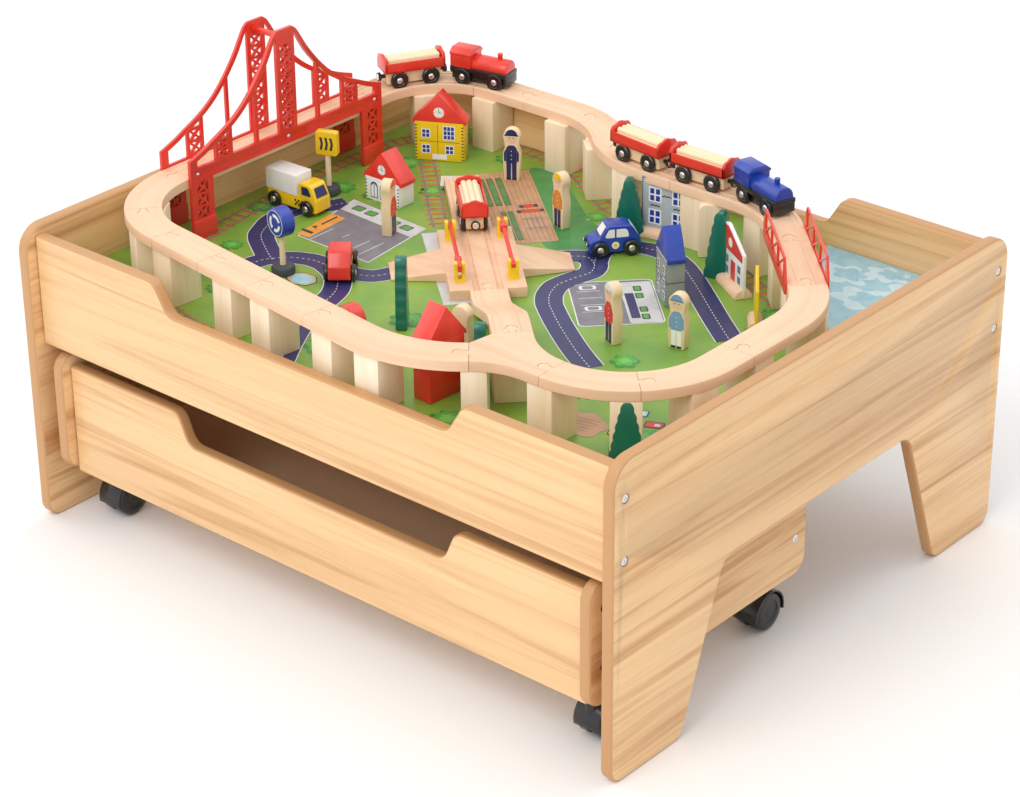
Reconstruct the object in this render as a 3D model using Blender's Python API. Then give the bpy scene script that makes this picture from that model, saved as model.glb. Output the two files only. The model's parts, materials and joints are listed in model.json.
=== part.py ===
"""Wooden train table with a rolling drawer, a raised track, two toy trains, cars and houses.

Metres, Z up. The origin is on the floor under the middle of the table. X runs along the
long side, and the drawer opens towards -Y. Each object is one physical piece, or one piece
with the blocks that stand glued under it.
"""

import math

import bmesh
import bpy
from mathutils import Matrix, Vector

# Fits
FIT = 0.0003
BORE_PLAY = 0.0004
SINK = 0.002

# Table
TABLE_LENGTH = 0.840
TABLE_WIDTH = 0.6834
PANEL_HEIGHT = 0.3614
BOARD_THICK = 0.0145
PANEL_TOP_RADIUS = 0.030
FOOT_RADIUS = 0.018
FOOT_WIDTH = 0.1132
CUT_TOP_HALF = 0.1635
CUT_TOP_HEIGHT = 0.182
CUT_RADIUS = 0.022
BOARD_RECESS = 0.0134
BOARD_BOTTOM = 0.2196
BOARD_TOP = 0.352
BOARD_DIP = 0.3169
DIP_HALF = 0.1975
DIP_SLOPE_RUN = 0.0215
DIP_RADIUS = 0.016
PLAY_TOP = 0.2915
PLAY_THICK = 0.009
PLAY_GROOVE = 0.006

# Drawer
DRAWER_SIDE_GAP = 0.0185
DRAWER_FRONT_Y = -0.335
DRAWER_DEPTH = 0.361
DRAWER_BOTTOM = 0.070
DRAWER_END_TOP = 0.213
DRAWER_FRONT_BOTTOM = 0.066
DRAWER_FRONT_TOP = 0.200
DRAWER_FRONT_RECESS = 0.013
DRAWER_CORNER = 0.020
HAND_DIP = 0.163
HAND_DIP_HALF = 0.184
HAND_DIP_RUN = 0.016
DRAWER_FLOOR_THICK = 0.009
DRAWER_FLOOR_LIP = 0.005
DRAWER_FLOOR_GROOVE = 0.006

# Casters
CASTER_WHEEL_RADIUS = 0.0225
CASTER_WHEEL_WIDTH = 0.0135
CASTER_WEB = 0.005
CASTER_AXLE_RADIUS = 0.0025
CASTER_OFFSET = 0.014
CASTER_RIM = 0.002
CASTER_WHEEL_PLAY = 0.001
CASTER_STEM_RADIUS = 0.004
CASTER_NECK_RADIUS = 0.009
CASTER_NECK_TOP = 0.054
CASTER_SOCKET_RADIUS = 0.010
CASTER_PLATE = 0.035
CASTER_PLATE_THICK = 0.002
CASTER_PLATE_MARGIN = 0.003
FLOOR_PLAY = 0.0005

# Track
TRACK_WIDTH = 0.042
TRACK_THICK = 0.012
PIER_HEIGHT = 0.064
PIER_LONG = 0.032
PIER_WIDE = 0.040
GAUGE_HALF = 0.013
GROOVE_HALF = 0.0035
GROOVE_DEPTH = 0.003
PEG_NECK_HALF = 0.0034
PEG_REACH = 0.0105
PEG_RADIUS = 0.0060
CURVE_RADIUS = 0.116
WIDE_CURVE_RADIUS = 0.150
BACK_CURVE_RADIUS = 0.105
S_RADIUS = 0.128
SWITCH_LEFT_LEAD = 0.022
SWITCH_LEFT_RADIUS = 0.100
SWITCH_LEFT_TURN = 41
SWITCH_RIGHT_RADIUS = 0.110
SWITCH_RIGHT_TURN = 43
SWITCH_RIGHT_TAIL = 0.010
ARC_STEP = 9

# Track layout
BRIDGE_X = -0.3805
BRIDGE_FRONT = -0.132
BRIDGE_BACK = 0.176
BRIDGE_SIDE_MIDDLE = 0.019
FRONT_LEAD = 0.006
BACK_LEAD = 0.0185
SWITCH_STEM = Vector((0.2545, -0.234))
RIGHT_STRAIGHT = 0.118
BEND_TURN = 45
LOWER_RUN = 0.1295
PIER_INWARD_FRONT = 0.003
PIER_INWARD_BACK = 0.008
RAMP_LEVEL = 0.075
RAMP_SLOPE = 0.125
RAMP_FOOT = 0.035
TAIL_LENGTH = 0.150

# Crossing deck
DECK_LONG = 0.162
DECK_WIDE = 0.085
ROAD_RAMP_REACH = 0.060
ROAD_RAMP_INNER = 0.066
ROAD_RAMP_OUTER = 0.044
ROAD_RAMP_LIP = 0.002
POST_ALONG = 0.055
POST_ACROSS = 0.0295
POST_WIDTH = 0.012
POST_TOP_WIDTH = 0.009
POST_HEIGHT = 0.022
POST_SLOT = 0.018
REST_SLOT = 0.008
ARM_THICK = 0.004
ARM_HIGH = 0.005
ARM_TAB = 0.009
ARM_TAB_HIGH = 0.009
ARM_PIN_RADIUS = 0.0015
PIVOT_BELOW_TOP = 0.005

# Bridge sides
TRUSS_THICK_NEAR = 0.0045
TRUSS_THICK_FAR = 0.0033
TRUSS_HALF = 0.1575
BEAM_TOP = 0.379
BEAM_BOTTOM = 0.3605
CABLE_END_TOP = 0.391
CABLE_RISE = 0.096
CABLE_POWER = 1.6
CABLE_DEPTH = 0.0045
TOWER_HALF = 0.0155
TOWER_TOP = 0.503
TOWER_BAR = 0.0042
LEG_INNER = 0.125
LEG_FOOT = 0.012
HANGER_AT = 0.055
HANGER_WIDE = 0.003
PANEL_AT = 0.101
PANEL_WIDE = 0.016
END_BLOCK_INNER = 0.121
LATTICE_BAR = 0.0028
CROSS_BAR_HIGH = 0.008
CROSS_BAR_HALF = 0.008

# Fence on the slanting straight
FENCE_HIGH = 0.027
FENCE_THICK = 0.0026
FENCE_RAIL = 0.0032
FENCE_MARGIN = 0.003
FENCE_CELLS = 5

# Rail vehicles, with heights above the top of the track
WHEEL_RADIUS = 0.011
WHEEL_TREAD_HALF = 0.0012
WHEEL_HALF = 0.0023
WHEEL_TAPER = 0.0025
AXLE_RADIUS = 0.002
FRAME_HALF_WIDE = 0.0100
FRAME_LOW = 0.0035
FRAME_TOP = 0.0200
WAGON_BASE = 0.040
WAGON_FRAME_HALF = 0.034
TUB_HALF_LONG = 0.0385
TUB_HALF_WIDE = 0.0155
TUB_SIDE_TOP = 0.0315
TUB_END_TOP = 0.0400
TUB_WALL = 0.0022
TUB_END_WALL = 0.003
LOAD_HALF_LONG = 0.0335
LOAD_HALF_WIDE = 0.0122
LOAD_SHOULDER = 0.0300
LOAD_TOP = 0.0395
ENGINE_BASE = 0.044
ENGINE_HALF_LONG = 0.0385
ENGINE_HALF_WIDE = 0.0148
FOOTPLATE = 0.0025
BOILER_RADIUS = 0.0125
BOILER_AXIS = 0.0222
CAB_FRONT = -0.010
CAB_SHOULDER = 0.0375
CAB_TOP = 0.0430
CHIMNEY_AT = 0.0235
CHIMNEY_RADIUS = 0.0032
CHIMNEY_TOP = 0.0415
COUPLING_HEIGHT = 0.0115
COUPLING_ROD = 0.0022
MAGNET_RADIUS = 0.0045
MAGNET_THICK = 0.002
HALF_PITCH = 0.044
RAIL_WHEEL_SIDES = 10

# Cars, with heights above the play board
CAR_WHEEL_RADIUS = 0.0095
CAR_WHEEL_WIDTH = 0.005
CAR_BODY_HALF = 0.0125
CAR_AXLE_RADIUS = 0.0018
CAR_BASE = 0.036
CAR_FLOOR = 0.0045
CAR_ROOF = 0.036
TRUCK_BASE = 0.050
TRUCK_ROOF = 0.038
TRUCK_BED = 0.0205
TRUCK_BOX_TOP = 0.046
ROAD_WHEEL_SIDES = 12

PANEL_INNER = TABLE_LENGTH / 2 - BOARD_THICK
BOARD_OUTER = TABLE_WIDTH / 2 - BOARD_RECESS
BOARD_INNER = BOARD_OUTER - BOARD_THICK
TRACK_TOP = PLAY_TOP + PIER_HEIGHT + TRACK_THICK
DECK_TOP = PLAY_TOP + TRACK_THICK
WHEEL_CENTRE = WHEEL_RADIUS - GROOVE_DEPTH + FIT
CASTER_AXLE_HEIGHT = CASTER_WHEEL_RADIUS + FLOOR_PLAY
DRAWER_OUTER_X = PANEL_INNER - DRAWER_SIDE_GAP
DRAWER_INNER_X = DRAWER_OUTER_X - BOARD_THICK
DRAWER_FLOOR_LOW = DRAWER_BOTTOM + DRAWER_FLOOR_LIP
DRAWER_FRONT_INNER_Y = DRAWER_FRONT_Y + DRAWER_FRONT_RECESS + BOARD_THICK
DRAWER_BACK_OUTER_Y = DRAWER_FRONT_Y + DRAWER_DEPTH - DRAWER_FRONT_RECESS
DRAWER_BACK_INNER_Y = DRAWER_BACK_OUTER_Y - BOARD_THICK


def clear_scene():
    for obj in list(bpy.data.objects):
        bpy.data.objects.remove(obj, do_unlink=True)


def material(name, colour, roughness, metallic=0.0):
    made = bpy.data.materials.get(name)
    if made is None:
        made = bpy.data.materials.new(name)
        made.use_nodes = True
        shader = made.node_tree.nodes["Principled BSDF"]
        shader.inputs["Base Color"].default_value = (*colour, 1.0)
        shader.inputs["Roughness"].default_value = roughness
        shader.inputs["Metallic"].default_value = metallic
    return made


def oak():
    return material("oak_laminate", (0.72, 0.46, 0.22), 0.45)


def beech():
    return material("beech", (0.74, 0.55, 0.34), 0.5)


def pine():
    return material("pine_block", (0.78, 0.61, 0.36), 0.55)


def red_paint():
    return material("red_paint", (0.62, 0.03, 0.02), 0.35)


def blue_paint():
    return material("blue_paint", (0.02, 0.05, 0.42), 0.35)


def yellow_paint():
    return material("yellow_paint", (0.85, 0.55, 0.02), 0.4)


def white_paint():
    return material("white_paint", (0.85, 0.85, 0.84), 0.45)


def grey_paint():
    return material("grey_paint", (0.36, 0.38, 0.40), 0.45)


def green_print():
    return material("printed_board", (0.20, 0.42, 0.05), 0.5)


def black_plastic():
    return material("black_plastic", (0.012, 0.012, 0.013), 0.35)


def new_object(name, bm, finish=None):
    """An object from a bmesh, with its faces pointing out."""
    bmesh.ops.recalc_face_normals(bm, faces=bm.faces)
    mesh = bpy.data.meshes.new(name)
    bm.to_mesh(mesh)
    bm.free()
    obj = bpy.data.objects.new(name, mesh)
    bpy.context.scene.collection.objects.link(obj)
    if finish:
        mesh.materials.append(finish)
    return obj


def arc(centre, radius, start, end, steps):
    """Points of an arc in a plane, from one angle to another in degrees."""
    points = []
    for index in range(steps + 1):
        angle = math.radians(start + (end - start) * index / steps)
        points.append((centre[0] + radius * math.cos(angle), centre[1] + radius * math.sin(angle)))
    return points


def rounded(corners, degrees_per_step=20):
    """An outline from (x, y, radius) corners, where a radius of 0 leaves the corner sharp."""
    points = []
    count = len(corners)
    for index in range(count):
        here = Vector(corners[index][:2])
        radius = corners[index][2]
        before = (Vector(corners[index - 1][:2]) - here).normalized()
        after = (Vector(corners[(index + 1) % count][:2]) - here).normalized()
        if radius == 0:
            points.append(tuple(here))
            continue
        half = before.angle(after) / 2
        centre = here + (before + after).normalized() * radius / math.sin(half)
        first = here + before * radius / math.tan(half) - centre
        last = here + after * radius / math.tan(half) - centre
        turn = math.atan2(first.x * last.y - first.y * last.x, first.dot(last))
        steps = max(2, round(abs(math.degrees(turn)) / degrees_per_step))
        begin = math.atan2(first.y, first.x)
        for step in range(steps + 1):
            angle = begin + turn * step / steps
            points.append((centre.x + radius * math.cos(angle), centre.y + radius * math.sin(angle)))
    return points


def prism(name, outline, plane, low, high, finish=None):
    """An outline in the XY, XZ or YZ plane, extruded from low to high along the third axis."""
    bm = bmesh.new()
    corners = []
    for a, b in outline:
        places = {"XY": (a, b, low), "XZ": (a, low, b), "YZ": (low, a, b)}
        corners.append(bm.verts.new(places[plane]))
    face = bm.faces.new(corners)
    axis = {"XY": Vector((0, 0, 1)), "XZ": Vector((0, 1, 0)), "YZ": Vector((1, 0, 0))}[plane]
    raised = bmesh.ops.extrude_face_region(bm, geom=[face])
    moved = [item for item in raised["geom"] if isinstance(item, bmesh.types.BMVert)]
    bmesh.ops.translate(bm, verts=moved, vec=axis * (high - low))
    return new_object(name, bm, finish)


def block(name, low, high, finish=None):
    outline = [(low[0], low[1]), (high[0], low[1]), (high[0], high[1]), (low[0], high[1])]
    return prism(name, outline, "XY", low[2], high[2], finish)


def turned(name, profile, axis, sides, finish=None, phase=0.5):
    """A solid of revolution from (along, radius) points about X, Y or Z, closed by flat ends."""
    bm = bmesh.new()
    rings = []
    for along, radius in profile:
        ring = []
        for index in range(sides):
            angle = 2 * math.pi * (index + phase) / sides
            a, b = radius * math.cos(angle), radius * math.sin(angle)
            ring.append(bm.verts.new({"X": (along, a, b), "Y": (a, along, b), "Z": (a, b, along)}[axis]))
        rings.append(ring)
    for lower, upper in zip(rings, rings[1:]):
        for index in range(sides):
            after = (index + 1) % sides
            bm.faces.new((lower[index], lower[after], upper[after], upper[index]))
    bm.faces.new(rings[0])
    bm.faces.new(rings[-1])
    obj = new_object(name, bm, finish)
    obj.data.shade_smooth()
    obj.data.set_sharp_from_angle(angle=math.radians(35))
    return obj


def moved(obj, place):
    """Puts a transform into the mesh itself."""
    obj.data.transform(place)
    return obj


def combine(obj, operation, tools):
    """Joins or cuts with each tool in turn, and removes the tools."""
    for tool in tools:
        tool.hide_render = True
        tool.display_type = "WIRE"
        modifier = obj.modifiers.new(operation.lower(), "BOOLEAN")
        modifier.operation = operation
        modifier.solver = "EXACT"
        modifier.object = tool
        graph = bpy.context.evaluated_depsgraph_get()
        result = bpy.data.meshes.new_from_object(obj.evaluated_get(graph))
        obj.modifiers.clear()
        old = obj.data
        finishes = list(old.materials)
        obj.data = result
        result.materials.clear()
        for finish in finishes:
            result.materials.append(finish)
        bpy.data.meshes.remove(old)
        bpy.data.objects.remove(tool, do_unlink=True)
    return obj


def join(obj, tools):
    return combine(obj, "UNION", tools)


def cut(obj, tools):
    return combine(obj, "DIFFERENCE", tools)


def empty(name, place):
    obj = bpy.data.objects.new(name, None)
    obj.location = place
    bpy.context.scene.collection.objects.link(obj)
    return obj


def carry(parent, pieces):
    """Parents pieces to an empty and keeps them where they are."""
    bpy.context.view_layer.update()
    for piece in pieces:
        place = piece.matrix_world.copy()
        piece.parent = parent
        piece.matrix_world = place


# Table


def end_panel(name, side):
    foot_inner = TABLE_WIDTH / 2 - FOOT_WIDTH
    right = [
        (TABLE_WIDTH / 2, PANEL_HEIGHT, PANEL_TOP_RADIUS),
        (TABLE_WIDTH / 2, 0, FOOT_RADIUS),
        (foot_inner, 0, FOOT_RADIUS),
        (CUT_TOP_HALF, CUT_TOP_HEIGHT, CUT_RADIUS),
    ]
    left = [(-y, z, radius) for y, z, radius in reversed(right)]
    panel = prism(name, rounded(right + left, 15), "YZ", -BOARD_THICK / 2, BOARD_THICK / 2, oak())
    panel.location.x = side * (PANEL_INNER + BOARD_THICK / 2)
    return panel


def dipped_outline(half, low, high, dip, dip_half, run):
    """A board whose upper edge drops to a dip in the middle through two round bends each side."""
    right = [
        (half, low, 0),
        (half, high, 0),
        (dip_half + run, high, DIP_RADIUS),
        (dip_half, dip, DIP_RADIUS),
    ]
    left = [(-x, z, radius) for x, z, radius in reversed(right)]
    return rounded(right + left, 15)


def long_board(name, side):
    """The front or back board, with the groove that holds the play board."""
    half = PANEL_INNER - FIT
    outline = dipped_outline(half, BOARD_BOTTOM, BOARD_TOP, BOARD_DIP, DIP_HALF, DIP_SLOPE_RUN)
    board = prism(name, outline, "XZ", -BOARD_THICK / 2, BOARD_THICK / 2, oak())
    middle = BOARD_OUTER - BOARD_THICK / 2
    groove_floor = BOARD_THICK / 2 - PLAY_GROOVE
    groove = block(
        "groove_cutter",
        (-half - SINK, -side * groove_floor, PLAY_TOP - PLAY_THICK - FIT),
        (half + SINK, -side * (BOARD_THICK / 2 + SINK), PLAY_TOP + FIT),
    )
    board = cut(board, [groove])
    board.location.y = side * middle
    return board


def play_board():
    half_long = PANEL_INNER - FIT
    half_wide = BOARD_INNER + PLAY_GROOVE - FIT
    low = PLAY_TOP - PLAY_THICK
    return block("play_board", (-half_long, -half_wide, low), (half_long, half_wide, PLAY_TOP), green_print())


# Drawer


def drawer_end(name, side):
    back = DRAWER_FRONT_Y + DRAWER_DEPTH
    corners = [
        (DRAWER_FRONT_Y, DRAWER_BOTTOM, DRAWER_CORNER),
        (back, DRAWER_BOTTOM, DRAWER_CORNER),
        (back, DRAWER_END_TOP, DRAWER_CORNER),
        (DRAWER_FRONT_Y, DRAWER_END_TOP, DRAWER_CORNER),
    ]
    inner, outer = sorted((side * DRAWER_INNER_X, side * DRAWER_OUTER_X))
    board = prism(name, rounded(corners, 15), "YZ", inner, outer, oak())
    floor_top = DRAWER_FLOOR_LOW + DRAWER_FLOOR_THICK
    slot_low, slot_high = sorted(
        (side * (DRAWER_INNER_X - SINK), side * (DRAWER_INNER_X + DRAWER_FLOOR_GROOVE))
    )
    slot = block(
        "floor_groove_cutter",
        (slot_low, DRAWER_FRONT_INNER_Y - DRAWER_FLOOR_GROOVE, DRAWER_FLOOR_LOW - FIT),
        (slot_high, DRAWER_BACK_INNER_Y + DRAWER_FLOOR_GROOVE, floor_top + FIT),
    )
    return cut(board, [slot])


def drawer_wall(name, outline, inner_y, outer_y):
    """The front or back of the drawer, with the groove that holds its floor."""
    low, high = sorted((inner_y, outer_y))
    wall = prism(name, outline, "XZ", low, high, oak())
    way = 1 if outer_y > inner_y else -1
    groove_low, groove_high = sorted((inner_y - way * SINK, inner_y + way * DRAWER_FLOOR_GROOVE))
    groove = block(
        "floor_groove_cutter",
        (-DRAWER_OUTER_X, groove_low, DRAWER_FLOOR_LOW - FIT),
        (DRAWER_OUTER_X, groove_high, DRAWER_FLOOR_LOW + DRAWER_FLOOR_THICK + FIT),
    )
    return cut(wall, [groove])


def drawer_front():
    half = DRAWER_INNER_X - FIT
    outline = dipped_outline(
        half, DRAWER_FRONT_BOTTOM, DRAWER_FRONT_TOP, HAND_DIP, HAND_DIP_HALF, HAND_DIP_RUN
    )
    return drawer_wall("drawer_front", outline, DRAWER_FRONT_INNER_Y, DRAWER_FRONT_INNER_Y - BOARD_THICK)


def drawer_back():
    half = DRAWER_INNER_X - FIT
    outline = [(-half, DRAWER_BOTTOM), (half, DRAWER_BOTTOM), (half, DRAWER_FRONT_TOP), (-half, DRAWER_FRONT_TOP)]
    return drawer_wall("drawer_back", outline, DRAWER_BACK_INNER_Y, DRAWER_BACK_OUTER_Y)


def caster_places():
    """Name and stem position of each caster."""
    reach = CASTER_PLATE / 2 + CASTER_PLATE_MARGIN
    across = DRAWER_INNER_X - reach
    front = DRAWER_FRONT_INNER_Y + reach
    back = DRAWER_BACK_INNER_Y - reach
    return {
        "front_left": (-across, front),
        "front_right": (across, front),
        "back_left": (-across, back),
        "back_right": (across, back),
    }


def drawer_floor():
    """The drawer's floor board, with the four caster plates and their stem sockets below it."""
    edge = DRAWER_FLOOR_GROOVE - FIT
    low = DRAWER_FLOOR_LOW
    floor = block(
        "drawer_floor",
        (-DRAWER_INNER_X - edge, DRAWER_FRONT_INNER_Y - edge, low),
        (DRAWER_INNER_X + edge, DRAWER_BACK_INNER_Y + edge, low + DRAWER_FLOOR_THICK),
        pine(),
    )
    half = CASTER_PLATE / 2
    plate_low = low - CASTER_PLATE_THICK
    sockets, bores = [], []
    for x, y in caster_places().values():
        corners = [(x - half, y - half, 0.004), (x + half, y - half, 0.004)]
        corners += [(x + half, y + half, 0.004), (x - half, y + half, 0.004)]
        plate = prism("caster_plate", rounded(corners, 45), "XY", plate_low, low + SINK)
        profile = [(CASTER_NECK_TOP + FIT, CASTER_SOCKET_RADIUS), (low + SINK / 2, CASTER_SOCKET_RADIUS)]
        socket = moved(turned("stem_socket", profile, "Z", 12), Matrix.Translation((x, y, 0)))
        bore_radius = CASTER_STEM_RADIUS + BORE_PLAY
        profile = [(CASTER_NECK_TOP - SINK, bore_radius), (low, bore_radius)]
        bore = moved(turned("stem_bore", profile, "Z", 12), Matrix.Translation((x, y, 0)))
        sockets += [plate, socket]
        bores.append(bore)
    return cut(join(floor, sockets), bores)


def caster_hood(name, stem):
    """The moulded hood: a web between the two wheels, a fender over them, and the swivel stem."""
    axle_y = CASTER_OFFSET
    axle_z = CASTER_AXLE_HEIGHT
    half_wide = CASTER_WEB / 2 + CASTER_WHEEL_PLAY / 2 + CASTER_WHEEL_WIDTH
    inner = CASTER_WHEEL_RADIUS + CASTER_WHEEL_PLAY
    outer = inner + CASTER_RIM
    outline = arc((axle_y, axle_z), outer, -12, 192, 12)
    hood = prism(name, outline, "YZ", -half_wide, half_wide, black_plastic())
    neck_profile = [(axle_z + CASTER_NECK_RADIUS, CASTER_NECK_RADIUS), (CASTER_NECK_TOP, CASTER_NECK_RADIUS)]
    hood = join(hood, [turned("neck", neck_profile, "Z", 12)])
    pockets = []
    for side in (-1, 1):
        ends = sorted((side * CASTER_WEB / 2, side * (half_wide + SINK)))
        pocket = turned("wheel_pocket", [(ends[0], inner), (ends[1], inner)], "X", 20)
        pockets.append(moved(pocket, Matrix.Translation((0, axle_y, axle_z))))
    hood = cut(hood, pockets)
    stem_top = DRAWER_FLOOR_LOW - FIT
    post = turned("stem", [(CASTER_NECK_TOP - SINK, CASTER_STEM_RADIUS), (stem_top, CASTER_STEM_RADIUS)], "Z", 10)
    hood = join(hood, [post])
    bore_radius = CASTER_AXLE_RADIUS + BORE_PLAY
    bore = turned("axle_bore", [(-half_wide, bore_radius), (half_wide, bore_radius)], "X", 10)
    hood = cut(hood, [moved(bore, Matrix.Translation((0, axle_y, axle_z)))])
    hood.location = (*stem, 0)
    return hood


def caster_wheels(name, stem, shared):
    """Two wheels on one axle, with the origin on the axle."""
    if shared:
        wheels = bpy.data.objects.new(name, shared)
        bpy.context.scene.collection.objects.link(wheels)
    else:
        near = CASTER_WEB / 2 + CASTER_WHEEL_PLAY / 2
        far = near + CASTER_WHEEL_WIDTH
        side = [(near, CASTER_AXLE_RADIUS), (near, CASTER_WHEEL_RADIUS), (far, CASTER_WHEEL_RADIUS)]
        profile = [(-x, radius) for x, radius in reversed(side)] + side
        wheels = turned(name, profile, "X", 16, black_plastic())
    wheels.location = (stem[0], stem[1] + CASTER_OFFSET, CASTER_AXLE_HEIGHT)
    return wheels


def make_drawer():
    boards = [drawer_front(), drawer_back(), drawer_end("drawer_end_left", -1)]
    boards += [drawer_end("drawer_end_right", 1), drawer_floor()]
    middle = (0, DRAWER_FRONT_Y + DRAWER_DEPTH / 2, DRAWER_BOTTOM)
    shared = None
    pieces = list(boards)
    for corner, stem in caster_places().items():
        hood = caster_hood("caster_hood_" + corner, stem)
        wheels = caster_wheels("caster_wheels_" + corner, stem, shared)
        shared = wheels.data
        carry(hood, [wheels])
        pieces.append(hood)
    carry(empty("drawer_slide", middle), pieces)


# Track


def trace(start, heading, moves):
    """Samples (place, heading, distance) along straights and arcs.

    A move is ("straight", length) or ("arc", radius, turn), where a turn to the left is positive.
    """
    place = Vector(start)
    distance = 0.0
    samples = [(place.copy(), heading, 0.0)]
    for move in moves:
        if move[0] == "straight":
            way = Vector((math.cos(math.radians(heading)), math.sin(math.radians(heading))))
            place = place + way * move[1]
            distance += move[1]
            samples.append((place.copy(), heading, distance))
            continue
        radius, turn = move[1], move[2]
        side = 1 if turn > 0 else -1
        away = math.radians(heading + 90 * side)
        centre = place + Vector((math.cos(away), math.sin(away))) * radius
        steps = max(2, round(abs(turn) / ARC_STEP))
        for step in range(1, steps + 1):
            now = heading + turn * step / steps
            back = math.radians(now - 90 * side)
            here = centre + Vector((math.cos(back), math.sin(back))) * radius
            samples.append((here, now, distance + radius * math.radians(abs(turn)) * step / steps))
        place = samples[-1][0].copy()
        distance = samples[-1][2]
        heading += turn
    return samples


def path_length(samples):
    return samples[-1][2]


def at_distance(samples, distance):
    """The place and heading at a distance along a traced path."""
    for before, after in zip(samples, samples[1:]):
        if distance <= after[2] + 1e-9:
            part = (distance - before[2]) / (after[2] - before[2])
            return before[0].lerp(after[0], part), before[1] + (after[1] - before[1]) * part
    return samples[-1][0], samples[-1][1]


def track_profile():
    """The track's section as (sideways, down) points, with its two wheel grooves."""
    edge = TRACK_WIDTH / 2
    right = [
        (edge, -TRACK_THICK),
        (edge, 0),
        (GAUGE_HALF + GROOVE_HALF, 0),
        (GAUGE_HALF + GROOVE_HALF, -GROOVE_DEPTH),
        (GAUGE_HALF - GROOVE_HALF, -GROOVE_DEPTH),
        (GAUGE_HALF - GROOVE_HALF, 0),
    ]
    return right + [(-side, z) for side, z in reversed(right)]


def groove_profiles():
    """Sections of the two grooves alone, reaching above the surface, for cutting."""
    found = []
    for side in (-1, 1):
        low, high = side * GAUGE_HALF - GROOVE_HALF, side * GAUGE_HALF + GROOVE_HALF
        found.append([(low, -GROOVE_DEPTH), (high, -GROOVE_DEPTH), (high, SINK), (low, SINK)])
    return found


def sweep(name, samples, profile, level, trim=FIT / 2, finish=None):
    """A section carried along a path. Level is a height, or a function of the distance."""
    height = level if callable(level) else lambda distance: level
    bm = bmesh.new()
    rings = []
    last = len(samples) - 1
    for index, (place, heading, distance) in enumerate(samples):
        way = Vector((math.cos(math.radians(heading)), math.sin(math.radians(heading))))
        left = Vector((-way.y, way.x))
        shift = trim if index == 0 else -trim if index == last else 0
        ring = []
        for side, down in profile:
            flat = place + way * shift + left * side
            ring.append(bm.verts.new((flat.x, flat.y, height(distance) + down)))
        rings.append(ring)
    count = len(profile)
    for first, second in zip(rings, rings[1:]):
        for index in range(count):
            after = (index + 1) % count
            bm.faces.new((first[index], first[after], second[after], second[index]))
    bm.faces.new(rings[0])
    bm.faces.new(rings[-1])
    return new_object(name, bm, finish)


def facing(place, heading, height=0.0):
    """The transform that puts a piece at a place with its X along a heading."""
    turn = Matrix.Rotation(math.radians(heading), 4, "Z")
    return Matrix.Translation((place.x, place.y, height)) @ turn


def peg_outline(play):
    """The round-headed peg that joins two track pieces, pointing along +X, or its socket."""
    neck = PEG_NECK_HALF + play
    radius = PEG_RADIUS + play
    centre = PEG_REACH
    opening = math.degrees(math.asin(neck / radius))
    head = arc((centre, 0), radius, -180 + opening, 180 - opening, 12)
    return [(-SINK, neck), (-SINK, -neck)] + head


def peg(place, heading, level):
    shape = prism("peg", peg_outline(0), "XY", -TRACK_THICK + FIT, -FIT)
    return moved(shape, facing(place, heading, level))


def socket_cutter(place, heading, level):
    shape = prism("socket", peg_outline(BORE_PLAY), "XY", -TRACK_THICK - SINK, SINK)
    return moved(shape, facing(place, heading, level))


def pier(place, heading, aside=0.0):
    """A solid block that stands on the play board and runs up into the track over it."""
    long, wide = PIER_LONG / 2, PIER_WIDE / 2
    top = TRACK_TOP - TRACK_THICK + SINK
    shape = block("pier", (-long, aside - wide, PLAY_TOP + FIT), (long, aside + wide, top))
    return moved(shape, facing(place, heading))


def add_piers(track, samples, distances, aside=0.0):
    return join(track, [pier(*at_distance(samples, distance), aside) for distance in distances])


def switch_paths():
    left_moves = [("straight", SWITCH_LEFT_LEAD), ("arc", SWITCH_LEFT_RADIUS, SWITCH_LEFT_TURN)]
    right_moves = [("arc", SWITCH_RIGHT_RADIUS, -SWITCH_RIGHT_TURN), ("straight", SWITCH_RIGHT_TAIL)]
    return trace(SWITCH_STEM, 180, left_moves), trace(SWITCH_STEM, 180, right_moves)


def front_path():
    """From the bridge round the front-left curve, along the front, and up to the switch."""
    near = Vector((BRIDGE_X + CURVE_RADIUS, BRIDGE_FRONT - FRONT_LEAD))
    leg, leg_heading, _ = switch_paths()[0][-1]
    arrive = leg_heading - 180
    turn_left = math.radians(arrive + 90)
    far = leg + Vector((math.cos(turn_left), math.sin(turn_left))) * WIDE_CURVE_RADIUS
    between = far - near
    difference = CURVE_RADIUS - WIDE_CURVE_RADIUS
    lean = math.degrees(math.asin(difference / between.length))
    heading = math.degrees(math.atan2(between.y, between.x)) + lean
    run = math.sqrt(between.length_squared - difference**2)
    moves = [("straight", FRONT_LEAD), ("arc", CURVE_RADIUS, heading + 90), ("straight", run)]
    moves.append(("arc", WIDE_CURVE_RADIUS, arrive - heading))
    return trace((BRIDGE_X, BRIDGE_FRONT), -90, moves)


def right_path():
    moves = [("arc", CURVE_RADIUS, 90), ("straight", RIGHT_STRAIGHT), ("arc", CURVE_RADIUS, BEND_TURN)]
    return trace(SWITCH_STEM, 0, moves)


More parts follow.
